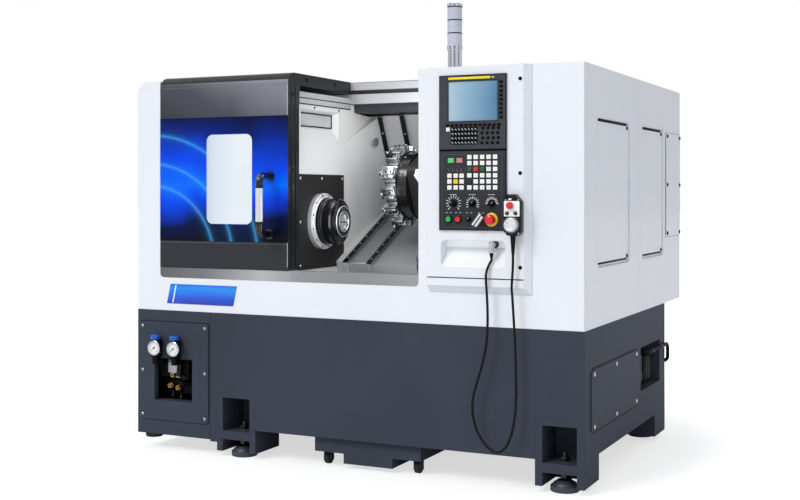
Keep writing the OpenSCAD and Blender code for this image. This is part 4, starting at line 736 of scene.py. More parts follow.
@dataclass
class Studio:
    """Camera, lights and floor of the picture.

    Attributes:
        camera_place: Where the camera stands.
        camera_turn: Turn of the camera about the upright, in degrees.
        lens: Focal length in millimetres on the 36 mm sensor.
        shift: Share of the picture's width that the level camera is shifted down.
        key_strength: Light of the sun from the front left.
        key_turn: Turn of the sun in degrees.
        key_softness: Width of the sun in degrees.
        sky_strength: Light of the sky all around.
    """

    camera_place: Point = (2.409, -5.2515, 1.175)
    camera_turn: float = 25.5
    lens: float = 54.1
    shift: float = -0.0731
    key_strength: float = 1.35
    key_turn: Point = (48.0, 0.0, -24.0)
    key_softness: float = 24.0
    sky_strength: float = 0.62
    floor_size: float = 60.0
    floor_glow: float = 0.45
    floor_white: float = 1.45
    shadow_reach: tuple[float, float] = (1.3, 2.4)
    chamber_lights: tuple[tuple[Point, Point, float], ...] = (
        ((0.20, -0.38, 1.54), (-0.73, 0.44, -0.52), 1.7), ((0.15, -0.66, 1.05), (-0.42, 0.47, 0.08), 1.5))

    def build(self) -> None:
        """Sets up the camera, the lights and the floor."""
        scene = bpy.context.scene
        scene.view_settings.view_transform = "Standard"
        data = bpy.data.cameras.new("camera")
        data.lens = self.lens
        data.sensor_width = 36.0
        data.shift_y = self.shift
        data.clip_end = 200.0
        camera = added("camera", data)
        camera.location = self.camera_place
        camera.rotation_euler = (math.radians(90.0), 0.0, math.radians(self.camera_turn))
        scene.camera = camera
        self._sun()
        for place, aim, strength in self.chamber_lights:
            self._chamber_light(place, aim, strength)
        self._sky()
        self._floor()

    @staticmethod
    def _chamber_light(place: Point, aim: Point, strength: float) -> None:
        """Adds a soft light inside the chamber."""
        data = bpy.data.lights.new("chamber_light", "AREA")
        data.shape = "RECTANGLE"
        data.size, data.size_y = 0.45, 0.3
        data.energy = strength
        light = bpy.data.objects.new("chamber_light", data)
        light.location = place
        light.rotation_euler = Vector(aim).to_track_quat("-Z", "Y").to_euler()
        light.visible_camera = False
        bpy.context.scene.collection.objects.link(light)

    def _sun(self) -> None:
        """Adds the soft sun from the front left."""
        data = bpy.data.lights.new("key_light", "SUN")
        data.energy = self.key_strength
        data.angle = math.radians(self.key_softness)
        added("key_light", data).rotation_euler = tuple(math.radians(angle) for angle in self.key_turn)

    def _sky(self) -> None:
        """Makes a sky that lights softly and looks white."""
        world = bpy.data.worlds.new("studio")
        world.use_nodes = True
        tree = world.node_tree
        tree.nodes.clear()
        rays = tree.nodes.new("ShaderNodeLightPath")
        plain = tree.nodes.new("ShaderNodeBackground")
        plain.inputs["Color"].default_value = (0.97, 0.985, 1.0, 1.0)
        plain.inputs["Strength"].default_value = self.sky_strength
        shader = plain.outputs[0]
        white = tree.nodes.new("ShaderNodeBackground")
        white.inputs["Color"].default_value = (1.0, 1.0, 1.0, 1.0)
        for ray, background in (("Is Glossy Ray", self._dome(tree)), ("Is Camera Ray", white),
                                ("Is Transmission Ray", white)):
            mix = tree.nodes.new("ShaderNodeMixShader")
            tree.links.new(rays.outputs[ray], mix.inputs[0])
            tree.links.new(shader, mix.inputs[1])
            tree.links.new(background.outputs[0], mix.inputs[2])
            shader = mix.outputs[0]
        output = tree.nodes.new("ShaderNodeOutputWorld")
        tree.links.new(shader, output.inputs[0])
        bpy.context.scene.world = world

    @staticmethod
    def _dome(tree: bpy.types.NodeTree) -> bpy.types.Node:
        """Gives the studio dome that gloss reflects: bright above, dim at the horizon."""
        way = tree.nodes.new("ShaderNodeTexCoord")
        split = tree.nodes.new("ShaderNodeSeparateXYZ")
        tree.links.new(way.outputs["Generated"], split.inputs[0])
        ramp = tree.nodes.new("ShaderNodeValToRGB")
        elements = ramp.color_ramp.elements
        elements[0].position, elements[0].color = 0.0, (0.42, 0.43, 0.45, 1.0)
        elements[1].position, elements[1].color = 0.62, (1.15, 1.15, 1.15, 1.0)
        middle = elements.new(0.22)
        middle.color = (0.7, 0.71, 0.73, 1.0)
        tree.links.new(split.outputs[2], ramp.inputs[0])
        turn = tree.nodes.new("ShaderNodeMath")
        turn.operation = "ARCTAN2"
        tree.links.new(split.outputs[0], turn.inputs[0])
        tree.links.new(split.outputs[1], turn.inputs[1])
        panels = tree.nodes.new("ShaderNodeMath")
        panels.operation = "MULTIPLY"
        panels.inputs[1].default_value = 5.0
        tree.links.new(turn.outputs[0], panels.inputs[0])
        wave = tree.nodes.new("ShaderNodeMath")
        wave.operation = "SINE"
        tree.links.new(panels.outputs[0], wave.inputs[0])
        light = tree.nodes.new("ShaderNodeMath")
        light.operation = "MULTIPLY_ADD"
        light.inputs[1].default_value = -0.4
        light.inputs[2].default_value = 0.9
        tree.links.new(wave.outputs[0], light.inputs[0])
        dome = tree.nodes.new("ShaderNodeBackground")
        tree.links.new(ramp.outputs[0], dome.inputs["Color"])
        tree.links.new(light.outputs[0], dome.inputs["Strength"])
        return dome

    @staticmethod
    def _seen_rays(tree: bpy.types.NodeTree) -> bpy.types.NodeSocket:
        """Gives 1 for rays that see the background: from the camera or through glass."""
        rays = tree.nodes.new("ShaderNodeLightPath")
        both = tree.nodes.new("ShaderNodeMath")
        both.operation = "MAXIMUM"
        tree.links.new(rays.outputs["Is Camera Ray"], both.inputs[0])
        tree.links.new(rays.outputs["Is Transmission Ray"], both.inputs[1])
        return both.outputs[0]

    def _floor(self) -> None:
        """Lays a pale floor that keeps the machine's shadow and fades to white around it."""
        half = self.floor_size
        mesh = bpy.data.meshes.new("floor")
        mesh.from_pydata([(-half, -half, 0.0), (half, -half, 0.0), (half, half, 0.0), (-half, half, 0.0)], [],
                         [(0, 1, 2, 3)])
        floor = bpy.data.objects.new("floor", mesh)
        bpy.context.scene.collection.objects.link(floor)
        desk = Desk("floor")
        desk.shader.inputs["Base Color"].default_value = (0.93, 0.93, 0.94, 1.0)
        desk.shader.inputs["Roughness"].default_value = 0.9
        desk.shader.inputs["Specular IOR Level"].default_value = 0.1
        white = desk.tree.nodes.new("ShaderNodeEmission")
        white.inputs["Strength"].default_value = self.floor_white
        length = desk.tree.nodes.new("ShaderNodeVectorMath")
        length.operation = "LENGTH"
        desk.feed(length, 0, desk.place())
        near, far = self.shadow_reach
        fade = desk.add("ShaderNodeMapRange", Value=length.outputs["Value"], From_Min=near, From_Max=far,
                        To_Min=self.floor_glow).outputs[0]
        mix = desk.tree.nodes.new("ShaderNodeMixShader")
        desk.feed(mix, 0, desk.sum("MULTIPLY", fade, self._seen_rays(desk.tree)))
        desk.feed(mix, 1, desk.shader.outputs[0])
        desk.feed(mix, 2, white.outputs[0])
        desk.tree.links.new(mix.outputs[0], desk.output.inputs[0])
        mesh.materials.append(desk.material)


@dataclass
class PendantCable:
    """Cable from the console's connector to the hand pendant.

    Attributes:
        route: Points that the cable follows, as in the CAD part.
        radius: Radius of its jacket.
        length: Length of the cable; not used.
    """

    route: tuple[Point, ...] = (
        (0.688, -0.802, 0.914), (0.688, -0.802, 0.904), (0.684, -0.814, 0.889), (0.674, -0.824, 0.853),
        (0.674, -0.826, 0.822), (0.677, -0.827, 0.783), (0.681, -0.828, 0.710), (0.681, -0.828, 0.638),
        (0.676, -0.828, 0.574), (0.660, -0.828, 0.497), (0.636, -0.828, 0.418), (0.619, -0.828, 0.353),
        (0.617, -0.828, 0.307), (0.629, -0.828, 0.249), (0.655, -0.828, 0.197), (0.689, -0.828, 0.162),
        (0.721, -0.828, 0.151), (0.752, -0.828, 0.168), (0.776, -0.828, 0.212), (0.792, -0.828, 0.277),
        (0.799, -0.828, 0.344), (0.800, -0.828, 0.433), (0.798, -0.828, 0.523), (0.795, -0.829, 0.612),
        (0.791, -0.830, 0.679), (0.786, -0.832, 0.764), (0.784, -0.833, 0.796), (0.786, -0.834, 0.832),
        (0.789, -0.835, 0.870), (0.790, -0.835, 0.915), (0.790, -0.835, 0.955))
    radius: float = 0.005
    length: float = 1.66

    def build(self) -> None:
        fittings = self._fittings()
        data = bpy.data.curves.new("pendant_cable", "CURVE")
        data.dimensions = "3D"
        data.bevel_depth = self.radius
        data.bevel_resolution = 5
        data.resolution_u = 6
        spline = data.splines.new("BEZIER")
        spline.bezier_points.add(len(self.route) - 1)
        for knot, place in zip(spline.bezier_points, self.route):
            knot.co = place
            knot.handle_left_type = knot.handle_right_type = "AUTO"
        data.materials.append(material_of(CABLE))
        cable = added("pendant_cable", data)
        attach(cable, "machine")
        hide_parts("pendant_cord")
        LOG.info("pendant cable, %d points", len(self.route))

    def _fittings(self) -> bpy.types.Object:
        """Builds the elbow connector in the pocket and the strain relief under the pendant."""
        shape = Shape("cable_fittings")
        x, y, _ = self.route[0]
        body = turning(932, 10.5, 934, 12, 938, 12, 939, 10.8, 943, 10.8, 944, 12, 951, 12, 952, 10.8, 955,
                       10.8, 956, 12, 972, 12, 976, 9)
        shape.turned((x, y, 0.0), UP, ((0.932, 0.0), *body, (0.976, 0.0)), TURNED, 36)
        gland = turning(914, 0, 914, 6, 918, 7.2, 918.5, 6.6, 922, 7.8, 922.5, 7.2, 927, 8.5, 932, 8.5, 932, 0)
        shape.turned((x, y, 0.0), UP, gland, CABLE, 28)
        shape.rod((x, y, 0.963), (x, -0.748, 0.963), 0.010, ALUMINIUM)
        nut = turning(0, 0, 0, 12, 2, 14, 18, 14, 20, 12, 20, 0)
        shape.turned((x, -0.774, 0.963), DEEP, nut, BLACK, 18)
        px, py, pz = self.route[-1]
        relief = [(-0.024, 0.0), (-0.024, 0.0060)]
        for i in range(12):
            low, r = -0.0225 + 0.0054 * i, 0.0064 + 0.00036 * i
            relief += [(low, r), (low + 0.0036, r + 0.0001), (low + 0.0038, r - 0.0007),
                       (low + 0.0052, r - 0.0007)]
        relief += [(0.044, 0.0112), (0.048, 0.0112), (0.048, 0.0)]
        shape.turned((px, py, pz), UP, relief, CABLE, 28)
        return shape.make("machine", ("cord_connector",))


@dataclass
class Screws:
    """Screw heads of the covers, on the front, the right side and inside the chamber.

    Attributes:
        radius: Radius of a head.
        height: Height of a head.
    """

    radius: float = 0.007
    height: float = 0.004

    def head(self, shape: Shape, place: Sequence[float], axis: Sequence[float], finish: Finish,
             scale: float = 1.0) -> None:
        """Adds a domed head with a hexagon socket.

        Args:
            shape: Piece that takes the head.
            place: Centre of the head on the sheet.
            axis: Direction that it faces.
            finish: Finish of the head.
            scale: Size of the head against the plain one.
        """
        r, h = self.radius * scale, self.height * scale
        dome = ((0.0, 0.0), (0.0, r), (0.35 * h, r), (0.75 * h, 0.82 * r), (h, 0.55 * r), (h, 0.0))
        shape.turned(place, axis, dome, finish, 20)
        shape.turned(Vector(place) + Vector(axis) * h * 0.2, axis,
                     ((0.0, 0.0), (0.0, 0.42 * r), (0.86 * h, 0.42 * r), (0.86 * h, 0.0)), BLACK, 6)

    def build(self) -> None:
        """Builds the covers' screws on the front, the right side and the chamber wall in one piece, with two black
        plates and chrome studs on the left side.
        """
        shape = Shape("machine_screws")
        grids = (
            (FORWARD, FRONT - 0.004, (-1.030, -0.690), (0.158, 0.360, 0.562), ZINC, 1.0),
            (FORWARD, FRONT - 0.030, (0.810,), (0.877, 1.247, 1.617), KEY_BLACK, 1.1),
            (ACROSS, RIGHT + 0.004, (-0.654, -0.3285, -0.003), (0.248, 0.456), WHEEL, 1.2),
            (ACROSS, RIGHT + 0.005, (0.586, 0.852), (0.972, 1.208, 1.444), KEY_BLACK, 1.3),
            (ACROSS, RIGHT - 0.004, (-0.140, 0.485), (0.898, 1.448), KEY_BLACK, 1.2))
        for axis, level, columns, rows, finish, scale in grids:
            for column in columns:
                for z in rows:
                    place = (column, level, z) if axis == FORWARD else (level, column, z)
                    self.head(shape, place, axis, finish, scale)
        for y, z in ((-0.662, 0.846), (-0.662, 1.234), (-0.274, 1.234), (-0.468, 1.234), (-0.662, 1.040)):
            self.head(shape, (-0.266, y, z), ACROSS, ZINC)
        for low in (0.878, 1.307):
            shape.block((-1.078, 0.112, low), (-1.075, 0.146, low + 0.060), GLOSS_BLACK, 0.001)
            shape.turned((-1.0755, 0.129, low + 0.03), (-1.0, 0.0, 0.0), turning(0, 0, 0, 12, 2.4, 11, 2.4, 0),
                         CHROME, 24)
        shape.make("machine", ("cover_screws",))


@dataclass
class Base:
    """Dark base with its air unit, lubricator and feet.

    Attributes:
        regulator_x: Places of the two regulators.
        gauge_shift: How far a gauge sits to the right of its regulator.
        gauge_z: Height of the gauges.
        gauge_face: Depth of the gauges' front.
        gauge_radius: Radius of a gauge.
        dial_sweep: Turn of the dial's scale in degrees.
        outlets: Places of the two brass outlets.
        feeds: Places of the feed ports above them.
        window: Corners of the cover's cut-out.
        foot_x: Places of the levelling feet across.
        foot_y: Places of the levelling feet in depth.
        bumper_y: Places of the cabinet's bumpers in depth.
    """

    regulator_x: tuple[float, float] = (-0.942, -0.838)
    gauge_shift: float = 0.017
    gauge_z: float = 0.470
    gauge_face: float = FRONT - 0.064
    gauge_radius: float = 0.033
    dial_sweep: float = 270.0
    outlets: tuple[Flat, ...] = ((-0.900, 0.290), (-0.857, 0.283))
    feeds: tuple[Flat, ...] = ((-0.886, 0.338), (-0.854, 0.338))
    window: tuple[Flat, Flat] = ((-0.964, 0.226), (-0.757, 0.418))
    foot_x: Flat = (-0.526, 0.960)
    foot_y: Flat = (FRONT + 0.070, FRONT + 1.260)
    bumper_y: Flat = (FRONT + 0.060, FRONT + 1.270)

    def build(self) -> None:
        """Builds the base's fine pieces."""
        self._gauges()
        self._air_unit()
        self._lubricator()
        self._feet()
        self._painted_shadows_and_seam()

    def _gauges(self) -> None:
        """Builds the gauges with their dials, needles and glass."""
        shape = Shape("gauges")
        r = self.gauge_radius
        for number, x in enumerate(self.regulator_x):
            centre = Vector((x + self.gauge_shift, self.gauge_face, self.gauge_z))
            bezel = ((0.005, r - 0.0075), (0.0, r - 0.0055), (0.0, r - 0.0025), (0.0015, r), (0.008, r),
                     (0.009, r - 0.002),
                     (0.009, r - 0.0075), (0.005, r - 0.0075))
            shape.turned(centre, DEEP, bezel, CHROME, 48)
            case = ((0.006, 0.0), (0.006, r - 0.0014), (0.024, r - 0.0014), (0.026, r - 0.004), (0.026, 0.007),
                    (0.030, 0.007),
                    (0.030, 0.0))
            shape.turned(centre, DEEP, case, GLOSS_BLACK, 48)
            dial = ((0.0, 0.0), (0.0, r - 0.007), (0.0010, r - 0.007))
            shape.turned(centre + Vector((0.0, 0.0036, 0.0)), DEEP, dial, DIAL, 48)
            for tick in range(21):
                angle = math.radians(self.dial_sweep * (tick / 20.0 - 0.5))
                inner, width = (0.0180, 0.0010) if tick % 5 == 0 else (0.0205, 0.0006)
                self._mark(shape, centre, angle, inner, 0.0238, width)
            self._mark(shape, centre, math.radians(-128.0 - 5.0 * number), -0.009, 0.018, 0.0022)
            shape.turned(centre + Vector((0.0, 0.0012, 0.0)), DEEP, turning(0, 0, 0, 3.2, 2.2, 3.2),
                         GLOSS_BLACK, 18)
        shape.make("machine", ("pressure_gauges",))

    @staticmethod
    def _mark(shape: Shape, centre: Vector, angle: float, inner: float, outer: float, width: float) -> None:
        """Adds one dark mark or needle on a dial, turned from the upright."""
        turn = pivot(centre, angle, "Y")
        shape.block((-width / 2, 0.0028, inner), (width / 2, 0.0036, outer), GLOSS_BLACK, 0.0, turn)

    def _air_unit(self) -> None:
        """Builds the regulators, the manifold with its ports and the frame of the cut-out."""
        shape = Shape("air_unit")
        back = FRONT
        for x in self.regulator_x:
            shape.block((x - 0.024, back - 0.034, 0.424), (x + 0.024, back - 0.006, 0.500), KEY_BLACK, 0.005)
            shape.block((x - 0.013, back - 0.034, 0.392), (x + 0.013, back - 0.006, 0.428), KEY_BLACK, 0.003)
            shape.block((x - 0.013, back - 0.008, 0.392), (x + 0.013, back + 0.034, 0.412), KEY_BLACK, 0.002)
            shape.rod((x, back - 0.027, 0.499), (x, back - 0.027, 0.506), 0.010, KEY_BLACK)
            self._ribbed_knob(shape, (x, back - 0.027, 0.5045))
        shape.block((-0.972, back + 0.030, 0.330), (-0.798, back + 0.090, 0.412), KEY_BLACK, 0.002)
        shape.block((-0.9125, back + 0.0285, 0.348), (-0.862, back + 0.034, 0.410), ALUMINIUM, 0.001)
        shape.block((-0.972, back + 0.060, 0.250), (-0.798, back + 0.110, 0.312), KEY_BLACK, 0.003)
        shape.block((-1.056, back + 0.060, 0.250), (-0.967, back + 0.110, 0.312), KEY_BLACK, 0.002)
        shape.block((-0.972, back + 0.060, 0.300), (-0.948, back + 0.110, 0.335), KEY_BLACK, 0.002)
        shape.rod((-0.845, back + 0.020, 0.336), (-0.838, back + 0.020, 0.413), 0.0135, GLOSS_BLACK, 0.003)
        shape.rod((-0.846, back + 0.012, 0.372), (-0.846, back + 0.030, 0.372), 0.006, ZINC, 0.001, 6)
        shape.rod((-0.826, back + 0.018, 0.330), (-0.800, back + 0.050, 0.330), 0.015, GLOSS_BLACK, 0.002)
        shape.rod((-0.838, back + 0.014, 0.306), (-0.812, back + 0.050, 0.300), 0.012, GLOSS_BLACK, 0.002)
        for x, z in self.outlets:
            self._port(shape, x, z, BRASS)
        for (x, z), finish in zip(self.feeds, (BRASS, ZINC)):
            self._port(shape, x, z, finish)
        for x, z in self.outlets:
            drop = [(x, back + 0.050 + 0.006 * math.sin(i / 2.0), z - 0.012 - 0.006 * i) for i in range(8)]
            shape.pipe(drop, 0.006, GLOSS_BLACK)
        (left, low), (right, high) = self.window
        shape.block((left, back, low - 0.003), (right, back + 0.055, low), DARK_COVER, 0.0005)
        shape.block((left - 0.003, back, low), (left, back + 0.026, high), DARK_COVER, 0.0005)
        shape.block((right, back, low), (right + 0.003, back + 0.026, high), DARK_COVER, 0.0005)
        shape.make("machine", ("air_manifold",))

    def _feet(self) -> None:
        """Builds the levelling feet with their bolts and nuts, and the cabinet's bumpers."""
        shape = Shape("feet")
        up = UP
        pad = turning(0, 0, 0, 55, 3, 57, 21, 57, 23.5, 54.5, 24.5, 50, 33, 45, 41, 32, 44, 29, 44, 0)
        thread = [(0.040, 0.0), (0.040, 0.0112)]
        for i in range(28):
            thread += [(0.041 + 0.004 * i, 0.0120), (0.043 + 0.004 * i, 0.0112)]
        thread += [(0.152, 0.0100), (0.152, 0.0)]
        for x in self.foot_x:
            for y in self.foot_y:
                shape.turned((x, y, 0.0), up, pad, FOOT, 48)
                shape.turned((x, y, 0.0), up, thread, BLUED, 24)
                for low in (0.050, 0.1162):
                    nut = ((low, 0.0), (low, 0.018), (low + 0.002, 0.020), (low + 0.016, 0.020),
                           (low + 0.018, 0.018), (low + 0.018, 0.0))
                    shape.turned((x, y, 0.0), up, nut, BLUED, 6)
                washer = turning(116, 0, 116, 24, 116.4, 24, 116.4, 0)
                shape.turned((x, y, 0.0), up, washer, ZINC, 32)
        bumper = turning(46, 0, 46, 36, 49, 40, 66, 40, 70, 36, 70, 0)
        for y in self.bumper_y:
            shape.turned((-1.011, y, 0.0), up, bumper, RUBBER, 40)
        shape.make("machine", ("levelling_feet",))

    @staticmethod
    def _painted_shadows_and_seam() -> None:
        """Builds the black rings round the covers and the black strips in the access doors' gaps, which are
        painted shadow, the white beads at those doors' edges, and the console's dark seam.
        """
        shape = Shape("painted_shadows_and_seam")
        # Painted shadow: thin black rings round the service cover, the side cover and the rear side plate.
        for low, high, radius, grow, origin, way in (
                ((-1.048, 0.136), (-0.671, 0.584), 0.016, 0.002, (0.0, FRONT, 0.0), ACROSS),
                ((-0.678, 0.225), (0.021, 0.480), 0.026, 0.003, (RIGHT, 0.0, 0.0), DEEP),
                ((0.570, 0.956), (0.868, 1.460), 0.010, 0.003, (RIGHT, 0.0, 0.0), DEEP)):
            outer = rounded((low[0] - grow, low[1] - 0.002), (high[0] + grow, high[1] + 0.002), radius + 0.002)
            inner = rounded((low[0] + 0.002, low[1] + 0.002), (high[0] - 0.002, high[1] - 0.002),
                            radius - 0.002)
            shape.ring(outer, inner, origin, way, UP, 0.0012, KEY_BLACK)
        for start, end in ((-0.600, -0.106), (0.112, 0.519)):
            # Painted shadow: black strips in the gaps above and below each access door.
            shape.block((RIGHT - 0.0155, start + 0.012, 1.4585), (RIGHT - 0.010, end - 0.012, 1.4695),
                        KEY_BLACK, 0.0005)
            shape.block((RIGHT - 0.0155, start + 0.012, 0.8805), (RIGHT - 0.010, end - 0.012, 0.8880),
                        KEY_BLACK, 0.0005)
            for y in (start, end):
                shape.block((RIGHT - 0.003, y - 0.002, 0.884), (RIGHT + 0.0016, y + 0.002, 1.456), WHITE,
                            0.0015)
        shape.block((0.410, FRONT - 0.0304, 0.8275), (0.824, FRONT - 0.0290, 0.8305), GLOSS_BLACK, 0.0)
        shape.make("machine")

    @staticmethod
    def _ribbed_knob(shape: Shape, foot: Point) -> None:
        """Adds a blue regulator knob with ribs around it."""
        profile = turning(0, 0, 0, 19, 2, 21, 17, 20.5, 20, 18, 21, 0)
        shape.turned(foot, UP, profile, BLUE, 40)
        for i in range(20):
            turn = pivot(foot, math.tau * i / 20, "Z")
            shape.block((0.0195, -0.0012, 0.003), (0.0216, 0.0012, 0.017), BLUE, 0.0004, turn)

    @staticmethod
    def _port(shape: Shape, x: float, z: float, finish: Finish) -> None:
        """Adds a port with a hexagon and a dark bore."""
        y = FRONT + 0.022
        shape.turned((x, y + 0.012, z), DEEP, turning(0, 0, 0, 12, 2, 13.5, 30, 13.5, 30, 0), finish, 6)
        ring = turning(14, 0, 3, 0, 3, 5.5, 0, 5.5, 0, 9, 1, 9.5, 14, 9.5)
        shape.turned((x, y, z), DEEP, ring, finish, 24)
        shape.turned((x, y + 0.0026, z), DEEP, turning(0, 0, 0, 5.4, 0.6, 5.4), BLACK, 20)

    def _lubricator(self) -> None:
        """Builds the lubricator in its recess with the pipe round the corner."""
        shape = Shape("lubricator")
        shape.block((0.860, 0.108, 0.287), (0.880, 0.427, 0.452), BLACK, 0.002)
        shape.block((0.860, 0.1168, 0.2928), (1.032, 0.2315, 0.4268), KEY_BLACK, 0.008)
        shape.block((1.028, 0.128, 0.308), (1.0345, 0.220, 0.345), BLACK, 0.002)
        shape.block((0.860, 0.2532, 0.2928), (1.034, 0.4182, 0.4112), KEY_BLACK, 0.012)
        for y in (0.285, 0.386):
            shape.block((1.0335, y - 0.003, 0.300), (1.0365, y + 0.003, 0.398), GLOSS_BLACK, 0.001)
        shape.block((1.0335, 0.326, 0.306), (1.036, 0.340, 0.392), PANEL, 0.001)
        cap = turning(0, 0, 0, 18, 4, 18, 6, 16, 18, 16, 20.5, 13, 20.5, 0)
        shape.turned((0.960, 0.3357, 0.410), UP, cap, GLOSS_BLACK, 28)
        shape.turned((0.960, 0.1742, 0.425), UP, turning(0, 0, 0, 18, 22, 16, 23, 0), BLACK, 28)
        x, z, bend = RIGHT + 0.0095, 0.4398, 0.030
        elbow = 0.030
        arc = [(x - elbow + elbow * math.sin(a), 0.1742 + elbow - elbow * math.cos(a),
                z) for a in self._quarter(6)]
        fall = [(x, 0.543 + bend * math.sin(a), z - bend + bend * math.cos(a)) for a in self._quarter(8)]
        foot = (z - bend - 0.055)
        turn_in = [(x - 0.020 + 0.020 * math.cos(a), 0.573,
                    foot + 0.020 - 0.020 * math.sin(a)) for a in self._quarter(5)]
        tail = [(x - 0.040, 0.564, foot), (x - 0.040, 0.552, foot)]
        shape.pipe([(0.962, 0.1742, z), *arc, *fall, *turn_in, (x - 0.036, 0.572, foot), *tail], 0.0085,
                   KEY_BLACK)
        for y in (0.250, 0.420):
            shape.rod((x, y, z), (x, y + 0.022, z), 0.0105, GLOSS_BLACK, 0.001, 20)
        screws = Screws()
        for y, z_ in ((0.118, 0.2975), (0.417, 0.2975), (0.118, 0.4415), (0.417, 0.4415)):
            screws.head(shape, (0.880, y, z_), ACROSS, ZINC, 0.8)
        shape.make("machine", ("lube_unit",))

    @staticmethod
    def _quarter(steps: int) -> list[float]:
        """Gives angles from 0 to a right angle."""
        return [math.pi / 2 * i / steps for i in range(steps + 1)]


@dataclass
class Enclosure:
    """White enclosure: its bare plate, seams and the back's vents.

    Attributes:
        plate_x: Limits of the bare plate across.
        plate_z: Limits of the bare plate in height.
        plate_lean: How far its top leans to the right.
        vent_x: Left edges of the two vents.
        vent_rows: Louvres of a vent.
    """

    plate_x: Flat = (-0.897, -0.540)
    plate_z: Flat = (0.668, 0.757)
    plate_lean: float = 0.020
    vent_x: tuple[float, float] = (-0.62, 0.38)
    vent_rows: int = 9

    def build(self) -> None:
        """Builds the enclosure's fine pieces."""
        self._plate()
        self._back()

    def _plate(self) -> None:
        """Builds the bare blue plate with a pale slanted stripe."""
        shape = Shape("bare_plate")
        (left, right), (low, high), lean = self.plate_x, self.plate_z, self.plate_lean
        outline = [(left, low), (right, low), (right + lean, high), (left + lean, high)]
        shape.front_plate(outline, FRONT, 0.0015, NAMEPLATE, 0.0006)
        rim = 0.005
        stripe = [(left + 0.030, low + rim), (left + 0.036, low + rim),
                  (left + 0.036 + lean * 0.9, high - rim), (left + 0.030 + lean * 0.9, high - rim)]
        shape.front_plate(stripe, FRONT - 0.0014, 0.0005, KEY_WHITE)
        shape.make("machine")

    def _back(self) -> None:
        """Builds the vents, the gland plate and the bar guide of the unseen sides."""
        shape = Shape("back_vents")
        back = 0.882
        for x in self.vent_x:
            shape.block((x, back, 1.17), (x + 0.26, back + 0.003, 1.47), WHITE, 0.001)
            for row in range(self.vent_rows):
                z = 1.19 + 0.030 * row
                tilt = pivot((0.0, back + 0.0035, z), math.radians(24.0), "X")
                shape.block((x + 0.02, -0.001, 0.0), (x + 0.24, 0.001, 0.018), WHITE, 0.0005, tilt)
                shape.block((x + 0.02, back + 0.0028, z + 0.003), (x + 0.24, back + 0.0034, z + 0.010), BLACK,
                            0.0)
        shape.block((-0.06, back, 0.70), (0.14, back + 0.004, 0.80), DARK_COVER, 0.001)
        for x in (0.0, 0.08):
            gland = turning(0, 0, 0, 20, 6, 20, 8, 15, 10, 15, 11, 9, 6, 9, 6, 0)
            shape.turned((x, back + 0.004, 0.75), DEEP, gland, BLACK, 24)
        for x in (-0.35, 0.35):
            shape.block((x - 0.0008, back, 0.64), (x + 0.0008, back + 0.0006, 1.672), PANEL_EDGE, 0.0)
        ring = turning(0, 50, 0, 62, 6, 60, 8, 52, 8, 48, 0, 48)
        shape.turned((-RIGHT, SPINDLE.y, SPINDLE.z), (-1.0, 0.0, 0.0), (*ring, ring[0]), GLOSS_BLACK, 40)
        shape.make("machine")


@dataclass
class Door:
    """Sliding door's grip, screws and trim, with painted highlight lines on its front.

    Attributes:
        grip_x: Place of the grip.
        grip_y: Depth of the grip.
        sleeve: Heights between which the grip is bright.
        side_x: The door's right side.
    """

    grip_x: float = -0.350
    grip_y: float = FRONT - 0.089
    sleeve: Flat = (1.045, 1.190)
    side_x: float = -0.260

    def build(self) -> None:
        """Builds the door's fine pieces."""
        shape = Shape("door_grip")
        low, high = self.sleeve
        shape.rod((self.grip_x, self.grip_y, low), (self.grip_x, self.grip_y, high), 0.0158, WHEEL, 0.001, 40)
        for z in (low - 0.010, high):
            shape.rod((self.grip_x, self.grip_y, z), (self.grip_x, self.grip_y, z + 0.010), 0.0166, BLACK,
                      0.001, 40)
        shape.make("door")
        self._trim()

    def _trim(self) -> None:
        """Builds the side's ribs and screws, with a pale line on the front's right edge and grey lines across the
        front, which are painted highlights.
        """
        shape = Shape("door_trim_and_painted_highlights")
        side, x = ACROSS, self.side_x
        shape.block((x - 0.001, FRONT + 0.024, 0.846), (x + 0.0016, FRONT + 0.030, 1.640), GLOSS_BLACK, 0.0005)
        shape.block((x - 0.001, FRONT + 0.060, 0.846), (x + 0.0016, FRONT + 0.066, 1.640), GLOSS_BLACK, 0.0005)
        # Painted highlight: a pale line along the front's right edge.
        shape.block((x - 0.0045, FRONT - 0.0006, 0.848), (x - 0.0025, FRONT + 0.001, 1.640), MARK, 0.0)
        # Painted highlight: grey lines across the front at its top bend and near its lower edge.
        for z in (1.641, 0.9465):
            shape.block((-0.931, FRONT - 0.0004, z - 0.0006), (x - 0.004, FRONT + 0.001, z + 0.0006), KEY_GREY,
                        0.0)
        screws = Screws()
        for z in (0.90, 1.27, 1.60):
            screws.head(shape, (x, FRONT + 0.045, z), side, GLOSS_BLACK)
        for y in (FRONT + 0.16, FRONT + 0.42):
            shape.turned((x - 0.001, y, 1.668), side, turning(0, 0, 0, 11, 1.8, 10, 2.4, 6, 2.4, 0), KEY_BLACK,
                         28)
        shape.make("door")


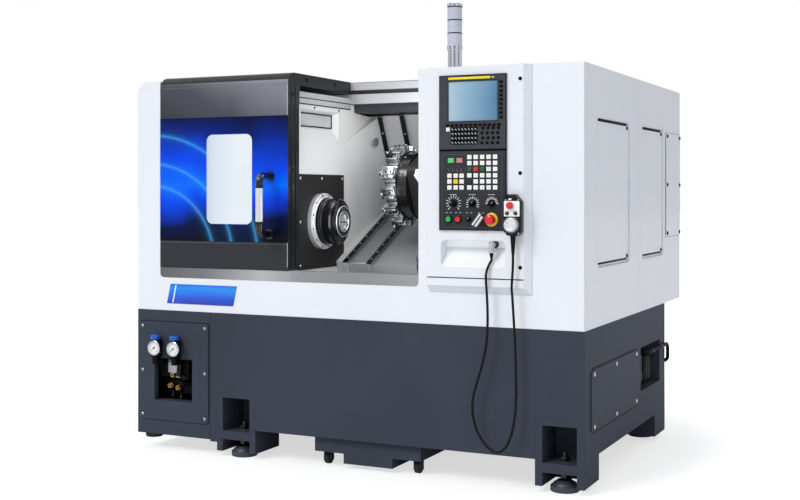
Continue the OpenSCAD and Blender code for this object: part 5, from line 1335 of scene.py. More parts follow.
@dataclass
class Chamber:
    """Inside of the machine: spindle nose, wall fittings, wipers and lamp.

    Attributes:
        wall: Place of the headstock wall.
        nose_bolts: Screws around the nose.
        ring_bolts: Screws around the collet ring.
        wiper_rivets: Rivets along a wiper.
    """

    wall: float = -0.270
    nose_bolts: int = 6
    ring_bolts: int = 12
    wiper_rivets: int = 9

    def build(self) -> None:
        """Builds the chamber's fine pieces."""
        self._nose()
        self._cap()
        self._wall_fittings()
        self._wiper("fixed_wiper", "machine", -0.232, -0.210, 0.0)
        self._wiper("middle_wiper", "middle_cover", -0.117, -0.095, 0.010)

    def _nose(self) -> None:
        """Builds the collet chuck with its ring, screws and slit collet."""
        shape = Shape("collet_nose")
        centre = Vector((-0.238, SPINDLE.y, SPINDLE.z))
        axis = ACROSS
        back = turning(0, 33, 0, 99, 4, 101, 6, 103, 22, 103, 23.5, 100.5, 27.5, 100.5, 27.5, 33, 0, 33)
        shape.turned(centre, axis, back, NOSE, 64)
        front = turning(27.5, 33, 27.5, 100.5, 29, 103, 62, 103, 67, 99, 70, 94, 70, 33, 27.5, 33)
        shape.turned(centre, axis, front, BLUED, 64)
        ring = turning(66, 40, 66, 70, 83.5, 70, 86, 67, 86, 46, 79, 40, 66, 40)
        shape.turned(centre, axis, ring, NOSE, 64)
        for inner, outer, at in ((0.0672, 0.0702, 0.0838), (0.0440, 0.0468, 0.0850)):
            line = ((at, inner), (at, outer), (at + 0.0018, outer - 0.0012), (at + 0.0018, inner + 0.0012),
                    (at, inner))
            shape.turned(centre, axis, line, WHEEL, 64)
        collet = turning(0, 31, 0, 40, 74, 42, 80, 44.5, 80, 36, 66, 31, 0, 31)
        shape.turned(centre, axis, collet, TURNED, 64)
        for i in range(3):
            turn = pivot(centre, math.tau * i / 3 + 0.4, "X")
            shape.block((0.040, -0.0020, 0.0305), (0.0806, 0.0020, 0.0440), GLOSS_BLACK, 0.0, turn)
        for i in range(self.nose_bolts):
            self._bolt(shape, centre + Vector((0.068, 0.0, 0.0)), 0.086,
                       math.tau * i / self.nose_bolts - SLANT, 0.0075, BLUED)
        for i in range(self.ring_bolts):
            self._bolt(shape, centre + Vector((0.0845, 0.0, 0.0)), 0.0575, math.tau * i / self.ring_bolts,
                       0.0054, GLOSS_BLACK)
        shape.turned(centre, axis, turning(30, 0, 30, 31.2, 32, 31.2, 32, 0), GLOSS_BLACK, 40)
        shape.make("spindle_unit", ("collet_chuck",))

    @staticmethod
    def _bolt(shape: Shape, centre: Vector, circle: float, angle: float, radius: float, finish: Finish) -> None:
        """Adds a socket screw on a circle that faces along the spindle."""
        place = centre + Vector((0.0, circle * math.cos(angle), circle * math.sin(angle)))
        head = ((0.0, 0.0), (0.0, radius), (0.0012, radius), (0.002, radius * 0.85), (0.002, radius * 0.5),
                (0.0006, radius * 0.45), (0.0006, 0.0))
        shape.turned(place, ACROSS, head, finish, 18)

    def _cap(self) -> None:
        """Builds the bright bearing cap with its screws."""
        shape = Shape("bearing_cap")
        centre = Vector((-0.280, SPINDLE.y, SPINDLE.z))
        ring = turning(0, 61, 0, 121, 4, 127, 30, 127, 34, 124, 34, 112, 39.5, 109, 40, 107, 40, 61, 0, 61)
        shape.turned(centre, ACROSS, ring, WHEEL, 72)
        for finish, band in ((WHEEL, turning(4, 126.6, 4, 127.6, 30, 127.6, 34.5, 124.5, 34.5, 121.5, 4,
                                             126.6)),
                             (GLOSS_BLACK, turning(39.5, 86, 39.5, 107, 40.6, 106.6, 40.6, 86, 39.5, 86))):
            shape.turned(centre, ACROSS, band, finish, 72)
        for i in range(12):
            self._bolt(shape, centre + Vector((0.0335, 0.0, 0.0)), 0.118, math.tau * (i + 0.5) / 12, 0.0045,
                       BLUED)
        shape.make("machine", ("spindle_cap",))

    def _wall_fittings(self) -> None:
        """Builds the plug, the lamp's glass and the flange screws of the headstock wall."""
        shape = Shape("wall_fittings")
        side = ACROSS
        plug = turning(0, 0, 0, 22, 3, 22, 5, 19, 4, 16, 4, 0)
        shape.turned((-0.222, -0.006, 1.415), side, plug, KEY_GREY, 32)
        shape.block((-0.2958, -0.648, 1.470), (-0.2930, -0.334, 1.526), LAMP, 0.0005)
        rim = 0.005
        for low, high in (((-0.652, 1.466), (-0.329, 1.466 + rim)), ((-0.652, 1.524), (-0.329, 1.524 + rim)),
                          ((-0.652, 1.466), (-0.652 + rim, 1.529)), ((-0.329 - rim, 1.466), (-0.329, 1.529))):
            shape.block((-0.2958, low[0], low[1]), (-0.2900, high[0], high[1]), BLACK, 0.0005)
        for low, high in ((1.566, 1.588), (1.592, 1.614)):
            shape.block((self.wall - 0.001, -0.672, low), (self.wall + 0.006, -0.190, high), RAIL, 0.0015)
        for low, high in ((1.5622, 1.5660), (1.588, 1.592)):
            shape.block((self.wall - 0.001, -0.672, low), (self.wall + 0.0045, -0.190, high), KEY_BLACK, 0.0)
        screws = Screws()
        for y in (-0.53, -0.30):
            screws.head(shape, (self.wall, y, 1.552), side, GLOSS_BLACK, 0.8)
        track = FRONT + 0.590
        for low, high, y in ((1.637, 1.655, track + 0.022), (1.586, 1.5898, track + 0.012),
                             (1.6902, 1.6925, track + 0.004)):
            shape.block((-0.934, y - 0.0015, low), (0.358, y, high), DUCT, 0.0)
        shape.make("machine")

    def _wiper(self, name: str, body: str, left: float, right: float, step: float) -> None:
        """Builds a rubber wiper with its rivets and steel edge along a way cover.

        Args:
            name: Name of the piece.
            body: Body that it rides on.
            left: Left edge along the spindle.
            right: Right edge along the spindle.
            step: How far this cover lies under the fixed one.
        """
        shape = Shape(name)
        level = -0.235 - step
        low, high = 0.042 + step, 0.670 + step
        turn = SLANTED
        shape.block((left - 0.002, low - 0.001, level - 0.002), (right + 0.0003, high, level + 0.0056),
                    GLOSS_BLACK, 0.0015, turn)
        shape.block((left - 0.002, high - 0.0056, level), (right + 0.0003, high + 0.002, 0.230), GLOSS_BLACK,
                    0.0015, turn)
        shape.block((right + 0.0003, low - 0.001, level - 0.006),
                    (right + 0.0026, high - 0.004, level + 0.003), STEEL, 0.0004, turn)
        lip_left = -0.264 if step == 0.0 else -0.205
        shape.block((lip_left, low - 0.0015, level - 0.0020), (left - 0.004, low + 0.0040, level + 0.0012),
                    WHEEL, 0.0005, turn)
        for x in (lip_left, left - 0.004):
            shape.block((x - 0.002, low - 0.0020, level - 0.040), (x + 0.002, low + 0.001, level + 0.0012),
                        WHEEL, 0.0005, turn)
        for i in range(self.wiper_rivets):
            share = (i + 0.5) / self.wiper_rivets
            foot = turn @ Vector(((left + right) / 2, low + share * (high - low), level + 0.0054))
            up = turn.to_3x3() @ Vector(UP)
            shape.turned(foot, up, turning(0, 0, 0, 5, 1.5, 4.5, 2.5, 2.5, 2.5, 0), ZINC, 14)
        for i in range(4):
            foot = turn @ Vector(((left + right) / 2, high - 0.0054, level + 0.08 + 0.10 * i))
            out = turn.to_3x3() @ Vector(FORWARD)
            shape.turned(foot, out, turning(0, 0, 0, 5, 1.5, 4.5, 2.5, 2.5, 2.5, 0), ZINC, 14)
        shape.make(body)


@dataclass
class Turret:
    """Indexing turret with a holder and a tool on each of its flats.

    Attributes:
        stations: Number of flats.
        offset: Distance of its axis from the spindle axis, up the slant.
        disc_x: Limits of the disc along the axis.
        disc_radius: Radius to the disc's corners.
        reach: Radius to the tools' tips.
        lands: Place where the flats end and the round flange begins.
        flange_radius: Radius of the flange.
    """

    stations: int = 12
    offset: float = 0.372
    disc_x: Flat = (-0.030, 0.070)
    lands: float = 0.022
    flange_radius: float = 0.155
    disc_radius: float = 0.165
    reach: float = 0.205

    def build(self) -> None:
        """Builds the holders and the disc's fine pieces."""
        self._holders()
        self._disc()
        self._cover()

    def _station(self, number: float) -> Matrix:
        """Gives the movement that puts a holder, drawn upwards, on a flat."""
        axis = SLANTED @ Vector((0.0, self.offset, 0.0))
        turn = SLANT + math.tau * (number + 0.5) / self.stations
        return pivot(axis, turn, "X")

    def _holders(self) -> None:
        """Builds the twelve holders with square tools and boring bars by turns."""
        shape = Shape("holders")
        flat = self.disc_radius * math.cos(math.pi / self.stations)
        for number in range(self.stations):
            at = self._station(number)
            shape.block((-0.040, -0.030, flat), (self.lands - 0.001, 0.030, 0.176), STEEL, 0.002, at)
            shape.block((-0.042, -0.0295, 0.174), (0.020, -0.013, 0.188), STEEL, 0.002, at)
            shape.block((-0.042, 0.013, 0.174), (0.020, 0.0295, 0.188), STEEL, 0.002, at)
            for x in (-0.030, -0.008):
                self._cap_screw(shape, at, (x, -0.021, 0.188), UP, 0.0042)
            if number % 2 == 0:
                self._square_tool(shape, at)
            else:
                self._boring_bar(shape, at)
        shape.make("turret", ("tool_holders",))

    def _square_tool(self, shape: Shape, at: Matrix) -> None:
        """Adds a square turning tool with its clamp and insert."""
        shape.block((-0.038, -0.011, 0.176), (-0.015, 0.011, 0.198), BLUED, 0.001, at)
        shape.block((-0.034, -0.009, 0.196), (-0.020, 0.003, 0.203), BLUED, 0.0015, at)
        shape.block((-0.0375, -0.0085, 0.1985), (-0.026, 0.0045, self.reach), TURNED, 0.0006, at)
        shape.block((-0.012, -0.012, 0.174), (0.016, 0.012, 0.185), STEEL, 0.002, at)
        self._cap_screw(shape, at, (0.002, 0.0, 0.185), UP, 0.005)

    def _boring_bar(self, shape: Shape, at: Matrix) -> None:
        """Adds a boring bar in its sleeve."""
        axis = at.to_3x3() @ Vector((-1.0, 0.0, 0.0))
        start = at @ Vector((-0.036, 0.0, 0.172))
        sleeve = turning(0, 0, 0, 20, 3, 21, 6, 19, 8, 13, 22, 13, 22, 0)
        shape.turned(start, axis, sleeve, STEEL, 28)
        shape.turned(at @ Vector((-0.058, 0.0, 0.172)), axis, turning(0, 0, 0, 9, 2, 7, 2, 0), BLUED, 20)
        shape.block((-0.030, -0.016, 0.176), (0.018, 0.016, 0.192), STEEL, 0.003, at)
        for x in (-0.018, 0.006):
            self._cap_screw(shape, at, (x, 0.0, 0.192), UP, 0.0046)

    @staticmethod
    def _cap_screw(shape: Shape, at: Matrix, place: Point, way: Point, radius: float) -> None:
        """Adds a black socket screw."""
        head = ((0.0, 0.0), (0.0, radius), (0.0022, radius), (0.003, radius * 0.8), (0.003, radius * 0.5),
                (0.001, radius * 0.45), (0.001, 0.0))
        shape.turned(at @ Vector(place), at.to_3x3() @ Vector(way), head, GLOSS_BLACK, 16)

    def _cover(self) -> None:
        """Builds the white sheet cover on the front of the housing."""
        shape = Shape("housing_cover")
        turn = SLANTED
        face = self.offset - 0.112
        outline = [(0.108, 0.104), (0.124, 0.136), (0.388, 0.136), (0.388, 0.070), (0.124, 0.070)]
        up = turn.to_3x3() @ Vector(UP)
        shape.plate(outline, turn @ Vector((0.0, face + 0.001, 0.0)), ACROSS, up, 0.003, WHITE, 0.0008)
        shape.make("cross_unit")

    def _disc(self) -> None:
        """Builds the hub's ring, the face's screws and the flats' bright lands."""
        shape = Shape("disc_face")
        flat = self.disc_radius * math.cos(math.pi / self.stations)
        axis = SLANTED @ Vector((0.0, self.offset, 0.0))
        left = self.disc_x[0]
        hub = turning(0, 0, 0, 50, 4, 61, 9.5, 62.2, 10.5, 62.2, 10.5, 0)
        shape.turned(Vector((left - 0.0105, axis.y, axis.z)), ACROSS, hub, TURNED, 48)
        for number in range(self.stations):
            at = self._station(number)
            shape.block((left + 0.003, -0.040, flat - 0.001), (self.lands - 0.001, 0.040, flat + 0.0012),
                        STAINLESS, 0.0006, at)
            self._cap_screw(shape, at, (self.lands + 0.030, 0.0, self.flange_radius - 0.0006), UP, 0.0046)
            self._cap_screw(shape, at, (left, 0.0, 0.128), (-1.0, 0.0, 0.0), 0.0052)
            self._cap_screw(shape, at, (left, 0.0, 0.086), (-1.0, 0.0, 0.0), 0.0046)
        groove = turning(0, 118, 0, 150, 0.8, 150, 0.8, 118, 0, 118)
        shape.turned(Vector((left - 0.0004, axis.y, axis.z)), ACROSS, groove, TURNED, 60)
        shape.make("turret")


class KeyTone(Enum):
    """Colour of a key of the operator panel."""

    WHITE = "white"
    YELLOW = "yellow"
    GREEN = "green"
    RED = "red"
    GONE = "gone"


KEY_FINISH: dict[KeyTone, Finish] = {
    KeyTone.WHITE: KEY_WHITE,
    KeyTone.YELLOW: KEY_YELLOW,
    KeyTone.GREEN: KEY_GREEN,
    KeyTone.RED: KEY_RED,
    KeyTone.GONE: PANEL,
}


@dataclass
class Console:
    """Display and operator panels with their keys, dials and buttons.

    Attributes:
        left: Left edge of both panels.
        right: Right edge of both panels.
        face: Depth of the panels' face.
        back: Depth of the console's face behind them.
        display: Lower and upper edge of the display panel.
        operator: Lower and upper edge of the operator panel.
        screen_x: Limits of the screen across.
        screen_z: Limits of the screen in height.
        dial_columns: Shares of the width at which the dials stand.
        dial_row: Share of the height at which the dials stand.
        control_row: Share of the height of the buttons, the lock and the stop.
        dial_turns: Turns of the dials' pointers at rest, in degrees.
    """

    left: float = 0.468
    right: float = 0.755
    face: float = FRONT - 0.038
    back: float = FRONT - 0.030
    display: Flat = (1.344, 1.640)
    operator: Flat = (1.020, 1.336)
    screen_x: Flat = (0.508, 0.718)
    screen_z: Flat = (1.456, 1.614)
    dial_columns: tuple[float, ...] = (0.22, 0.505, 0.79)
    dial_row: float = 0.34
    control_row: float = 0.14

    def build(self) -> None:
        """Builds both panels."""
        self._display()
        self._screen()
        self._operator()
        self._stop()
        self._buttons()
        for number, name in enumerate(("feed", "spindle", "rapid")):
            self._dial(f"{name}_dial", f"{name}_knob", self.dial_columns[number], self.dial_row, 0.014, 0.018,
                       self.dial_turns[number])
        self._dial("mode_dial", "mode_knob", 0.453, self.control_row, 0.009, 0.016, 30.0)

    dial_turns: tuple[float, ...] = (-40.0, 35.0, 62.0)

    def _spot(self, across: float, limits: Flat, up: float) -> Flat:
        """Gives the place of a share of a panel's width and height."""
        return (self.left + across * (self.right - self.left), limits[0] + up * (limits[1] - limits[0]))

    def _patch(self, shape: Shape, low: Flat, high: Flat, finish: AnyFinish, out: float = 0.0004,
               edge: float = 0.0) -> None:
        """Adds a thin mark that stands out of the panels' face."""
        shape.block((low[0], self.face - out, low[1]), (high[0], self.face + 0.001, high[1]), finish, edge)

    def _key(self, shape: Shape, spot: Flat, size: Flat, finish: Finish, height: float = 0.003,
             rim: Optional[Finish] = None) -> None:
        """Adds a rounded key cap, with a darker rim around it if one is given."""
        (x, z), (w, h) = spot, size
        shape.block((x - w / 2, self.face - height, z - h / 2), (x + w / 2, self.face + 0.002, z + h / 2),
                    finish, 0.0011)
        if rim is not None:
            self._patch(shape, (x - w / 2 - 0.0012, z - h / 2 - 0.0012),
                        (x + w / 2 + 0.0012, z + h / 2 + 0.0012), rim, 0.0008, 0.0004)

    def _display(self) -> None:
        """Builds the display panel with its bezel and keys."""
        shape = Shape("display_panel")
        low, high = self.display
        (sl, sr), (sb, st) = self.screen_x, self.screen_z
        bars = (((self.left, low), (self.right, sb)), ((self.left, st), (self.right, high)),
                ((self.left, sb), (sl, st)), ((sr, sb), (self.right, st)))
        for (x0, z0), (x1, z1) in bars:
            shape.block((x0, self.face, z0), (x1, self.back, z1), DISPLAY, 0.0)
        for z0, z1, x0, x1 in ((st, st + 0.003, sl - 0.003, sr + 0.003),
                               (sb - 0.003, sb, sl - 0.003, sr + 0.003),
                               (sb, st, sl - 0.003, sl), (sb, st, sr, sr + 0.003)):
            self._patch(shape, (x0, z0), (x1, z1), BLACK, 0.0012, 0.0005)
        self._patch(shape, (sl, 1.6225), (sl + 0.180, 1.6315), STRIP, 0.0006, 0.0003)
        self._patch(shape, (sl + 0.186, 1.6245), (sl + 0.196, 1.6295), STRIP, 0.0004, 0.0003)
        for i in range(9):
            self._key(shape, self._spot(0.925, self.display, 0.42 + 0.0585 * i), (0.0138, 0.0108), KEY_BLACK)
        for i in range(12):
            self._key(shape, self._spot(0.128 + 0.0695 * i, self.display, 0.322), (0.0138, 0.0108), KEY_BLACK)
        self._key(shape, self._spot(0.136, self.display, 0.268), (0.0155, 0.0155), KEY_WHITE)
        x, z = self._spot(0.136, self.display, 0.268)
        shape.block((x - 0.0015, self.face - 0.0034, z - 0.0015), (x + 0.0015, self.face - 0.002, z + 0.0015),
                    KEY_RED, 0.0)
        self._letter_keys(shape)
        for x0, x1 in ((self.left, self.left + 0.0026), (self.right - 0.0030, self.right)):
            self._patch(shape, (x0, self.operator[0]), (x1, high), KEY_BLACK, 0.0005)
        for z0 in (self.operator[0], high - 0.0026):
            self._patch(shape, (self.left, z0), (self.right, z0 + 0.0026), KEY_BLACK, 0.0005)
        for z in (1.41, 1.49, 1.53):
            self._patch(shape, (self.left + 0.004, z), (self.left + 0.024, z + 0.0012), KEY_BLACK, 0.0003)
        gap = self.operator[1]
        shape.block((self.left, self.back - 0.001, gap), (self.right, self.back, low), KEY_BLACK, 0.0)
        shape.make("machine", ("lcd_unit",))

    def _letter_keys(self, shape: Shape) -> None:
        """Adds the block of data keys with plain marks and the cluster of round keys."""
        x0, z0 = self._spot(0.180, self.display, 0.062)
        x1, z1 = self._spot(0.582, self.display, 0.296)
        self._patch(shape, (x0, z0), (x1, z1), KEY_BLACK, 0.0006, 0.0004)
        for column in range(8):
            for row in range(4):
                x, z = self._spot(0.207 + 0.0495 * column, self.display, 0.088 + 0.060 * row)
                self._key(shape, (x, z), (0.0118, 0.0128), KEY_BLACK)
                shape.block((x - 0.0042, self.face - 0.0033, z - 0.0008),
                            (x + 0.0018, self.face - 0.002, z + 0.0022), MARK, 0.0)
                shape.block((x + 0.0010, self.face - 0.0033, z - 0.0044),
                            (x + 0.0044, self.face - 0.002, z - 0.0026), MARK, 0.0)
        for column in range(4):
            for row in range(4):
                x, z = self._spot(0.645 + 0.077 * column + 0.012 * (row % 2), self.display, 0.080 + 0.066 * row)
                cap = turning(0, 0, 0, 6.5, 4, 6.5, 5, 5.5, 5, 0)
                shape.turned((x, self.face + 0.002, z), FORWARD, cap, KEY_BLACK, 20)

    def _screen(self) -> None:
        """Builds the lit screen behind its bezel."""
        shape = Shape("screen")
        (sl, sr), (sb, st) = self.screen_x, self.screen_z
        shape.block((sl, self.face + 0.0022, sb), (sr, self.face + 0.004, st), SCREEN, 0.0004)
        shape.make("machine", ("lcd_screen",))

    def _operator(self) -> None:
        """Builds the operator panel with its key field, scales and plain legends."""
        shape = Shape("operator_board")
        low, high = self.operator
        shape.block((self.left, self.face, low), (self.right, self.back, high), PANEL, 0.0008)
        self._frame_line(shape)
        white, yellow, green, red, gone = KeyTone.WHITE, KeyTone.YELLOW, KeyTone.GREEN, KeyTone.RED, KeyTone.GONE
        field_rows = ((white,) * 5, (white,) * 5, (green, red, green, white, white), (white,) * 5,
                      (gone, white, white, white, white), (white,) * 5)
        for up, tones in zip((0.924, 0.848, 0.772, 0.693, 0.617, 0.541), field_rows):
            for across, tone in zip((0.460, 0.554, 0.650, 0.745, 0.841), tones):
                self._panel_key(shape, across, up, tone)
        for up, tones in zip((0.69, 0.617, 0.541), ((white,) * 3, (white, yellow, white), (white,) * 3)):
            for across, tone in zip((0.160, 0.254, 0.344), tones):
                self._panel_key(shape, across, up, tone)
        for across, finish in ((0.182, LIT_GREEN), (0.312, LIT_RED)):
            self._key(shape, self._spot(across, self.operator, 0.883), (0.026, 0.019), finish, 0.004,
                      GLOSS_BLACK)
        for across in (0.145, 0.205, 0.268, 0.330):
            x, z = self._spot(across, self.operator, 0.762)
            for dz, w in ((0.005, 0.004), (0.0, 0.006), (-0.005, 0.005)):
                self._patch(shape, (x - w / 2, z + dz - 0.001), (x + w / 2, z + dz + 0.001), KEY_GREY)
        for column, sweep, size in zip(self.dial_columns, (270.0, 240.0, 180.0), (1.16, 1.0, 0.95)):
            self._scale(shape, column, sweep, size)
        for across in (0.146, 0.289, 0.453, 0.63):
            x, z = self._spot(across, self.operator, 0.222)
            for dx in (-0.009, 0.009):
                self._patch(shape, (x + dx - 0.004, z - 0.0008), (x + dx + 0.004, z + 0.0012), MARK)
        self._bezels(shape)
        self._key_switch(shape)
        shape.make("machine", ("operator_panel",))

    def _frame_line(self, shape: Shape) -> None:
        """Adds the fine line that frames the operator panel."""
        low, high = self.operator
        x0, x1, z0, z1 = self.left + 0.013, self.right - 0.017, low + 0.012, high - 0.012
        width = 0.0012
        for a, b in (((x0, z0), (x1, z0 + width)), ((x0, z1 - width), (x1, z1)), ((x0, z0), (x0 + width, z1)),
                     ((x1 - width, z0), (x1, z1)),
                     ((x0 + 0.004, z0 + 0.145), (x1 - 0.004, z0 + 0.1458))):
            self._patch(shape, (a[0], a[1]), (b[0], b[1]), PANEL_EDGE)

    def _panel_key(self, shape: Shape, across: float, up: float, tone: KeyTone) -> None:
        """Adds one key of the key field with a small plain mark on a pale key."""
        spot = self._spot(across, self.operator, up)
        self._key(shape, spot, (0.0186, 0.0170), KEY_FINISH[tone], 0.0034, GLOSS_BLACK)
        if tone in (KeyTone.WHITE, KeyTone.YELLOW):
            x, z = spot
            shape.block((x - 0.0016, self.face - 0.0037, z - 0.001),
                        (x + 0.0016, self.face - 0.003, z + 0.001), KEY_GREY, 0.0)

    def _scale(self, shape: Shape, across: float, sweep: float, size: float) -> None:
        """Adds the ticks of a dial's scale and the legend above it."""
        x, z = self._spot(across, self.operator, self.dial_row)
        for tick in range(13):
            angle = math.radians(sweep * (tick / 12.0 - 0.5))
            turn = pivot((x, self.face, z), angle, "Y")
            long = 0.0300 if tick % 3 == 0 else 0.0280
            shape.block((-0.0010, -0.0005, 0.0182 * size), (0.0010, 0.001, long * size), KEY_WHITE, 0.0, turn)
        for dx, w in ((-0.011, 0.012), (0.005, 0.014)):
            self._patch(shape, (x + dx - w / 2, z + 0.034), (x + dx + w / 2, z + 0.0365), MARK)

    def _bezels(self, shape: Shape) -> None:
        """Adds the rings around the two buttons and the yellow ring of the stop."""
        for across in (0.146, 0.289):
            x, z = self._spot(across, self.operator, self.control_row)
            ring = turning(-1, 11.3, 6, 11.3, 6, 13.5, 4.5, 16, -1, 16, -1, 11.3)
            shape.turned((x, self.face, z), FORWARD, ring, GLOSS_BLACK, 36)
        x, z = self._spot(0.79, self.operator, self.control_row)
        ring = turning(-1, 9.3, 7, 9.3, 7, 24.5, 5.5, 27, -1, 27, -1, 9.3)
        shape.turned((x, self.face, z), FORWARD, ring, YELLOW, 48)

    def _key_switch(self, shape: Shape) -> None:
        """Adds the lock with its slanted bright key."""
        x, z = self._spot(0.605, self.operator, self.control_row)
        lock = turning(-1, 0, -1, 11, 6, 11, 8, 9, 8, 0)
        shape.turned((x, self.face, z), FORWARD, lock, CHROME, 32)
        turn = pivot((x + 0.004, self.face - 0.008, z - 0.004), math.radians(38.0), "Y")
        shape.block((-0.0090, -0.022, -0.024), (0.0090, 0.002, 0.024), NOSE, 0.003, turn)
        for dx, high in ((-0.0066, 0.0275), (0.0066, 0.0245)):
            shape.block((dx - 0.0046, -0.026, -high), (dx + 0.0046, -0.010, high), WHEEL, 0.003, turn)
        shape.block((-0.0014, -0.0228, -0.021), (0.0014, -0.020, 0.021), KEY_BLACK, 0.0, turn)

    def _stop(self) -> None:
        """Builds the red mushroom of the emergency stop."""
        shape = Shape("stop_mushroom")
        x, z = self._spot(0.79, self.operator, self.control_row)
        cap = turning(5, 0, 5, 9, 15, 9, 15, 18.5, 17, 20, 28, 20, 34, 17.5, 37, 12, 37, 0)
        shape.turned((x, self.face, z), FORWARD, cap, RED, 48)
        shape.make("stop_button", ("emergency_stop",))

    def _buttons(self) -> None:
        """Builds the green and the red button."""
        for name, body, node, across, finish, slot in (("start_cap", "start", "start_button", 0.146, GREEN,
                                                        "green_plastic"),
                                                       ("hold_cap", "hold", "hold_button", 0.289, RED,
                                                        "red_plastic")):
            shape = Shape(name)
            x, z = self._spot(across, self.operator, self.control_row)
            cap = turning(-1, 0, -1, 11, 8, 11, 9.8, 9.5, 10.4, 6, 10.5, 0)
            shape.turned((x, self.face, z), FORWARD, cap, finish, 36)
            shape.make(body, (node,))

    def _dial(self, body: str, node: str, across: float, up: float, radius: float, height: float,
              turn: float) -> None:
        """Builds one turning knob with a skirt, a grip bar and a white pointer.

        Args:
            body: Body that it rides on.
            node: CAD node that it stands for.
            across: Share of the panel's width.
            up: Share of the panel's height.
            radius: Radius of the skirt.
            height: Height of the knob.
            turn: Turn of the pointer at rest, in degrees.
        """
        shape = Shape(f"{body}_cap")
        x, z = self._spot(across, self.operator, up)
        skirt = ((0.0003, 0.0), (0.0003, radius), (height * 0.22, radius), (height * 0.36, radius - 0.003),
                 (height * 0.9, radius - 0.0034),
                 (height, radius - 0.0045), (height, 0.0))
        shape.turned((x, self.face, z), FORWARD, skirt, KEY_BLACK, 40)
        at = pivot((x, self.face, z), math.radians(turn), "Y")
        shape.block((-0.0034, -height - 0.002, -radius), (0.0034, -height * 0.5, radius), KEY_BLACK, 0.0012, at)
        shape.block((-0.0007, -height - 0.0023, radius * 0.2), (0.0007, -height - 0.001, radius * 0.96), MARK,
                    0.0, at)
        shape.make(body, (node,))


@dataclass
class Pendant:
    """Hand pendant with its handwheel, stop and selectors.

    Attributes:
        middle: Place of its middle across.
        face: Depth of its face.
        back: Depth of its back.
        wheel: Place of the handwheel.
    """

    middle: float = 0.793
    face: float = FRONT - 0.078
    back: float = FRONT - 0.036
    wheel: Flat = (0.790, 1.045)

    def build(self) -> None:
        """Builds the pendant and its handwheel."""
        self._body()
        self._wheel()

    def _body(self) -> None:
        """Builds the housing with the white plate, the stop and the selectors."""
        shape = Shape("pendant_housing")
        m = self.middle
        outline = [(m - 0.021, 1.003), (m + 0.021, 1.003), (m + 0.035, 1.017), (m + 0.035, 1.136),
                   (m + 0.021, 1.150), (m + 0.011, 1.165),
                   (m - 0.021, 1.165), (m - 0.035, 1.150), (m - 0.035, 1.017)]
        shape.front_plate(outline, self.back, self.back - self.face, GLOSS_BLACK, 0.004)
        shape.front_plate(rounded((m - 0.0325, 1.078), (m + 0.0315, 1.138), 0.004), self.face + 0.0004, 0.0012,
                          KEY_WHITE, 0.0004)
        shape.front_plate(rounded((m - 0.014, 1.1415), (m - 0.002, 1.1485), 0.002), self.face + 0.0004, 0.0010,
                          KEY_WHITE)
        shape.block((m - 0.013, self.back, 1.096), (m + 0.013, self.back + 0.004, 1.150), GLOSS_BLACK, 0.001)
        mushroom = turning(0, 0, 0, 8, 5, 8, 5, 12.5, 6.5, 14, 12, 14, 15, 11.5, 16, 7, 16, 0)
        shape.turned((m - 0.006, self.face, 1.121), FORWARD, mushroom, RED, 36)
        for dx in (-0.020, 0.015):
            knob = turning(0, 0, 0, 8, 3, 8, 3.5, 6.8, 7.5, 6.5, 8, 5.5, 8, 0)
            shape.turned((m + dx, self.face, 1.091), FORWARD, knob, GLOSS_BLACK, 24)
            shape.block((m + dx - 0.001, self.face - 0.0088, 1.091),
                        (m + dx + 0.001, self.face - 0.0078, 1.0972), MARK, 0.0)
        for x, z in ((m - 0.027, 1.012), (m + 0.027, 1.012), (m - 0.026, 1.142), (m + 0.026, 1.142)):
            shape.turned((x, self.face, z), FORWARD, turning(0, 0, 0, 3, 0.6, 3, 1, 2, 1, 0), ZINC, 14)
        shape.block((m - 0.018, self.face - 0.0008, 1.156), (m + 0.008, self.face + 0.001, 1.160), GLOSS_BLACK,
                    0.0006)
        wx, wz = self.wheel
        ring = turning(0, 29, 0, 33.5, 1.2, 33.5, 1.2, 29, 0, 29)
        shape.turned((wx, self.face + 0.0002, wz), FORWARD, ring, PANEL_EDGE, 48)
        shape.make("machine", ("pendant_body",))

    def _wheel(self) -> None:
        """Builds the handwheel with its graduated skirt, dished face and finger knob."""
        shape = Shape("hand_wheel")
        x, z = self.wheel
        dish = turning(-5.7, 0, -5.7, 10, 0.3, 10, 0.3, 28, 4, 28, 4.5, 26.5, 13, 25.5, 15.3, 23.5, 14.5, 18,
                       12.5, 12, 12.5, 7, 13.5, 5.5, 13.5, 0)
        shape.turned((x, self.face, z), FORWARD, dish, WHEEL, 56)
        for i in range(50):
            turn = pivot((x, self.face, z), math.tau * i / 50, "Y")
            low = 0.0262 if i % 5 == 0 else 0.0268
            shape.block((-0.0003, -0.0046, low), (0.0003, -0.0038, 0.0278), GLOSS_BLACK, 0.0, turn)
        knob = turning(0, 0, 0, 4, 2, 4.5, 3.3, 3, 3.3, 0)
        shape.turned((x - 0.012, self.face - 0.0120, z + 0.010), FORWARD, knob, CHROME, 20)
        shape.make("handwheel", ("pendant_wheel",))


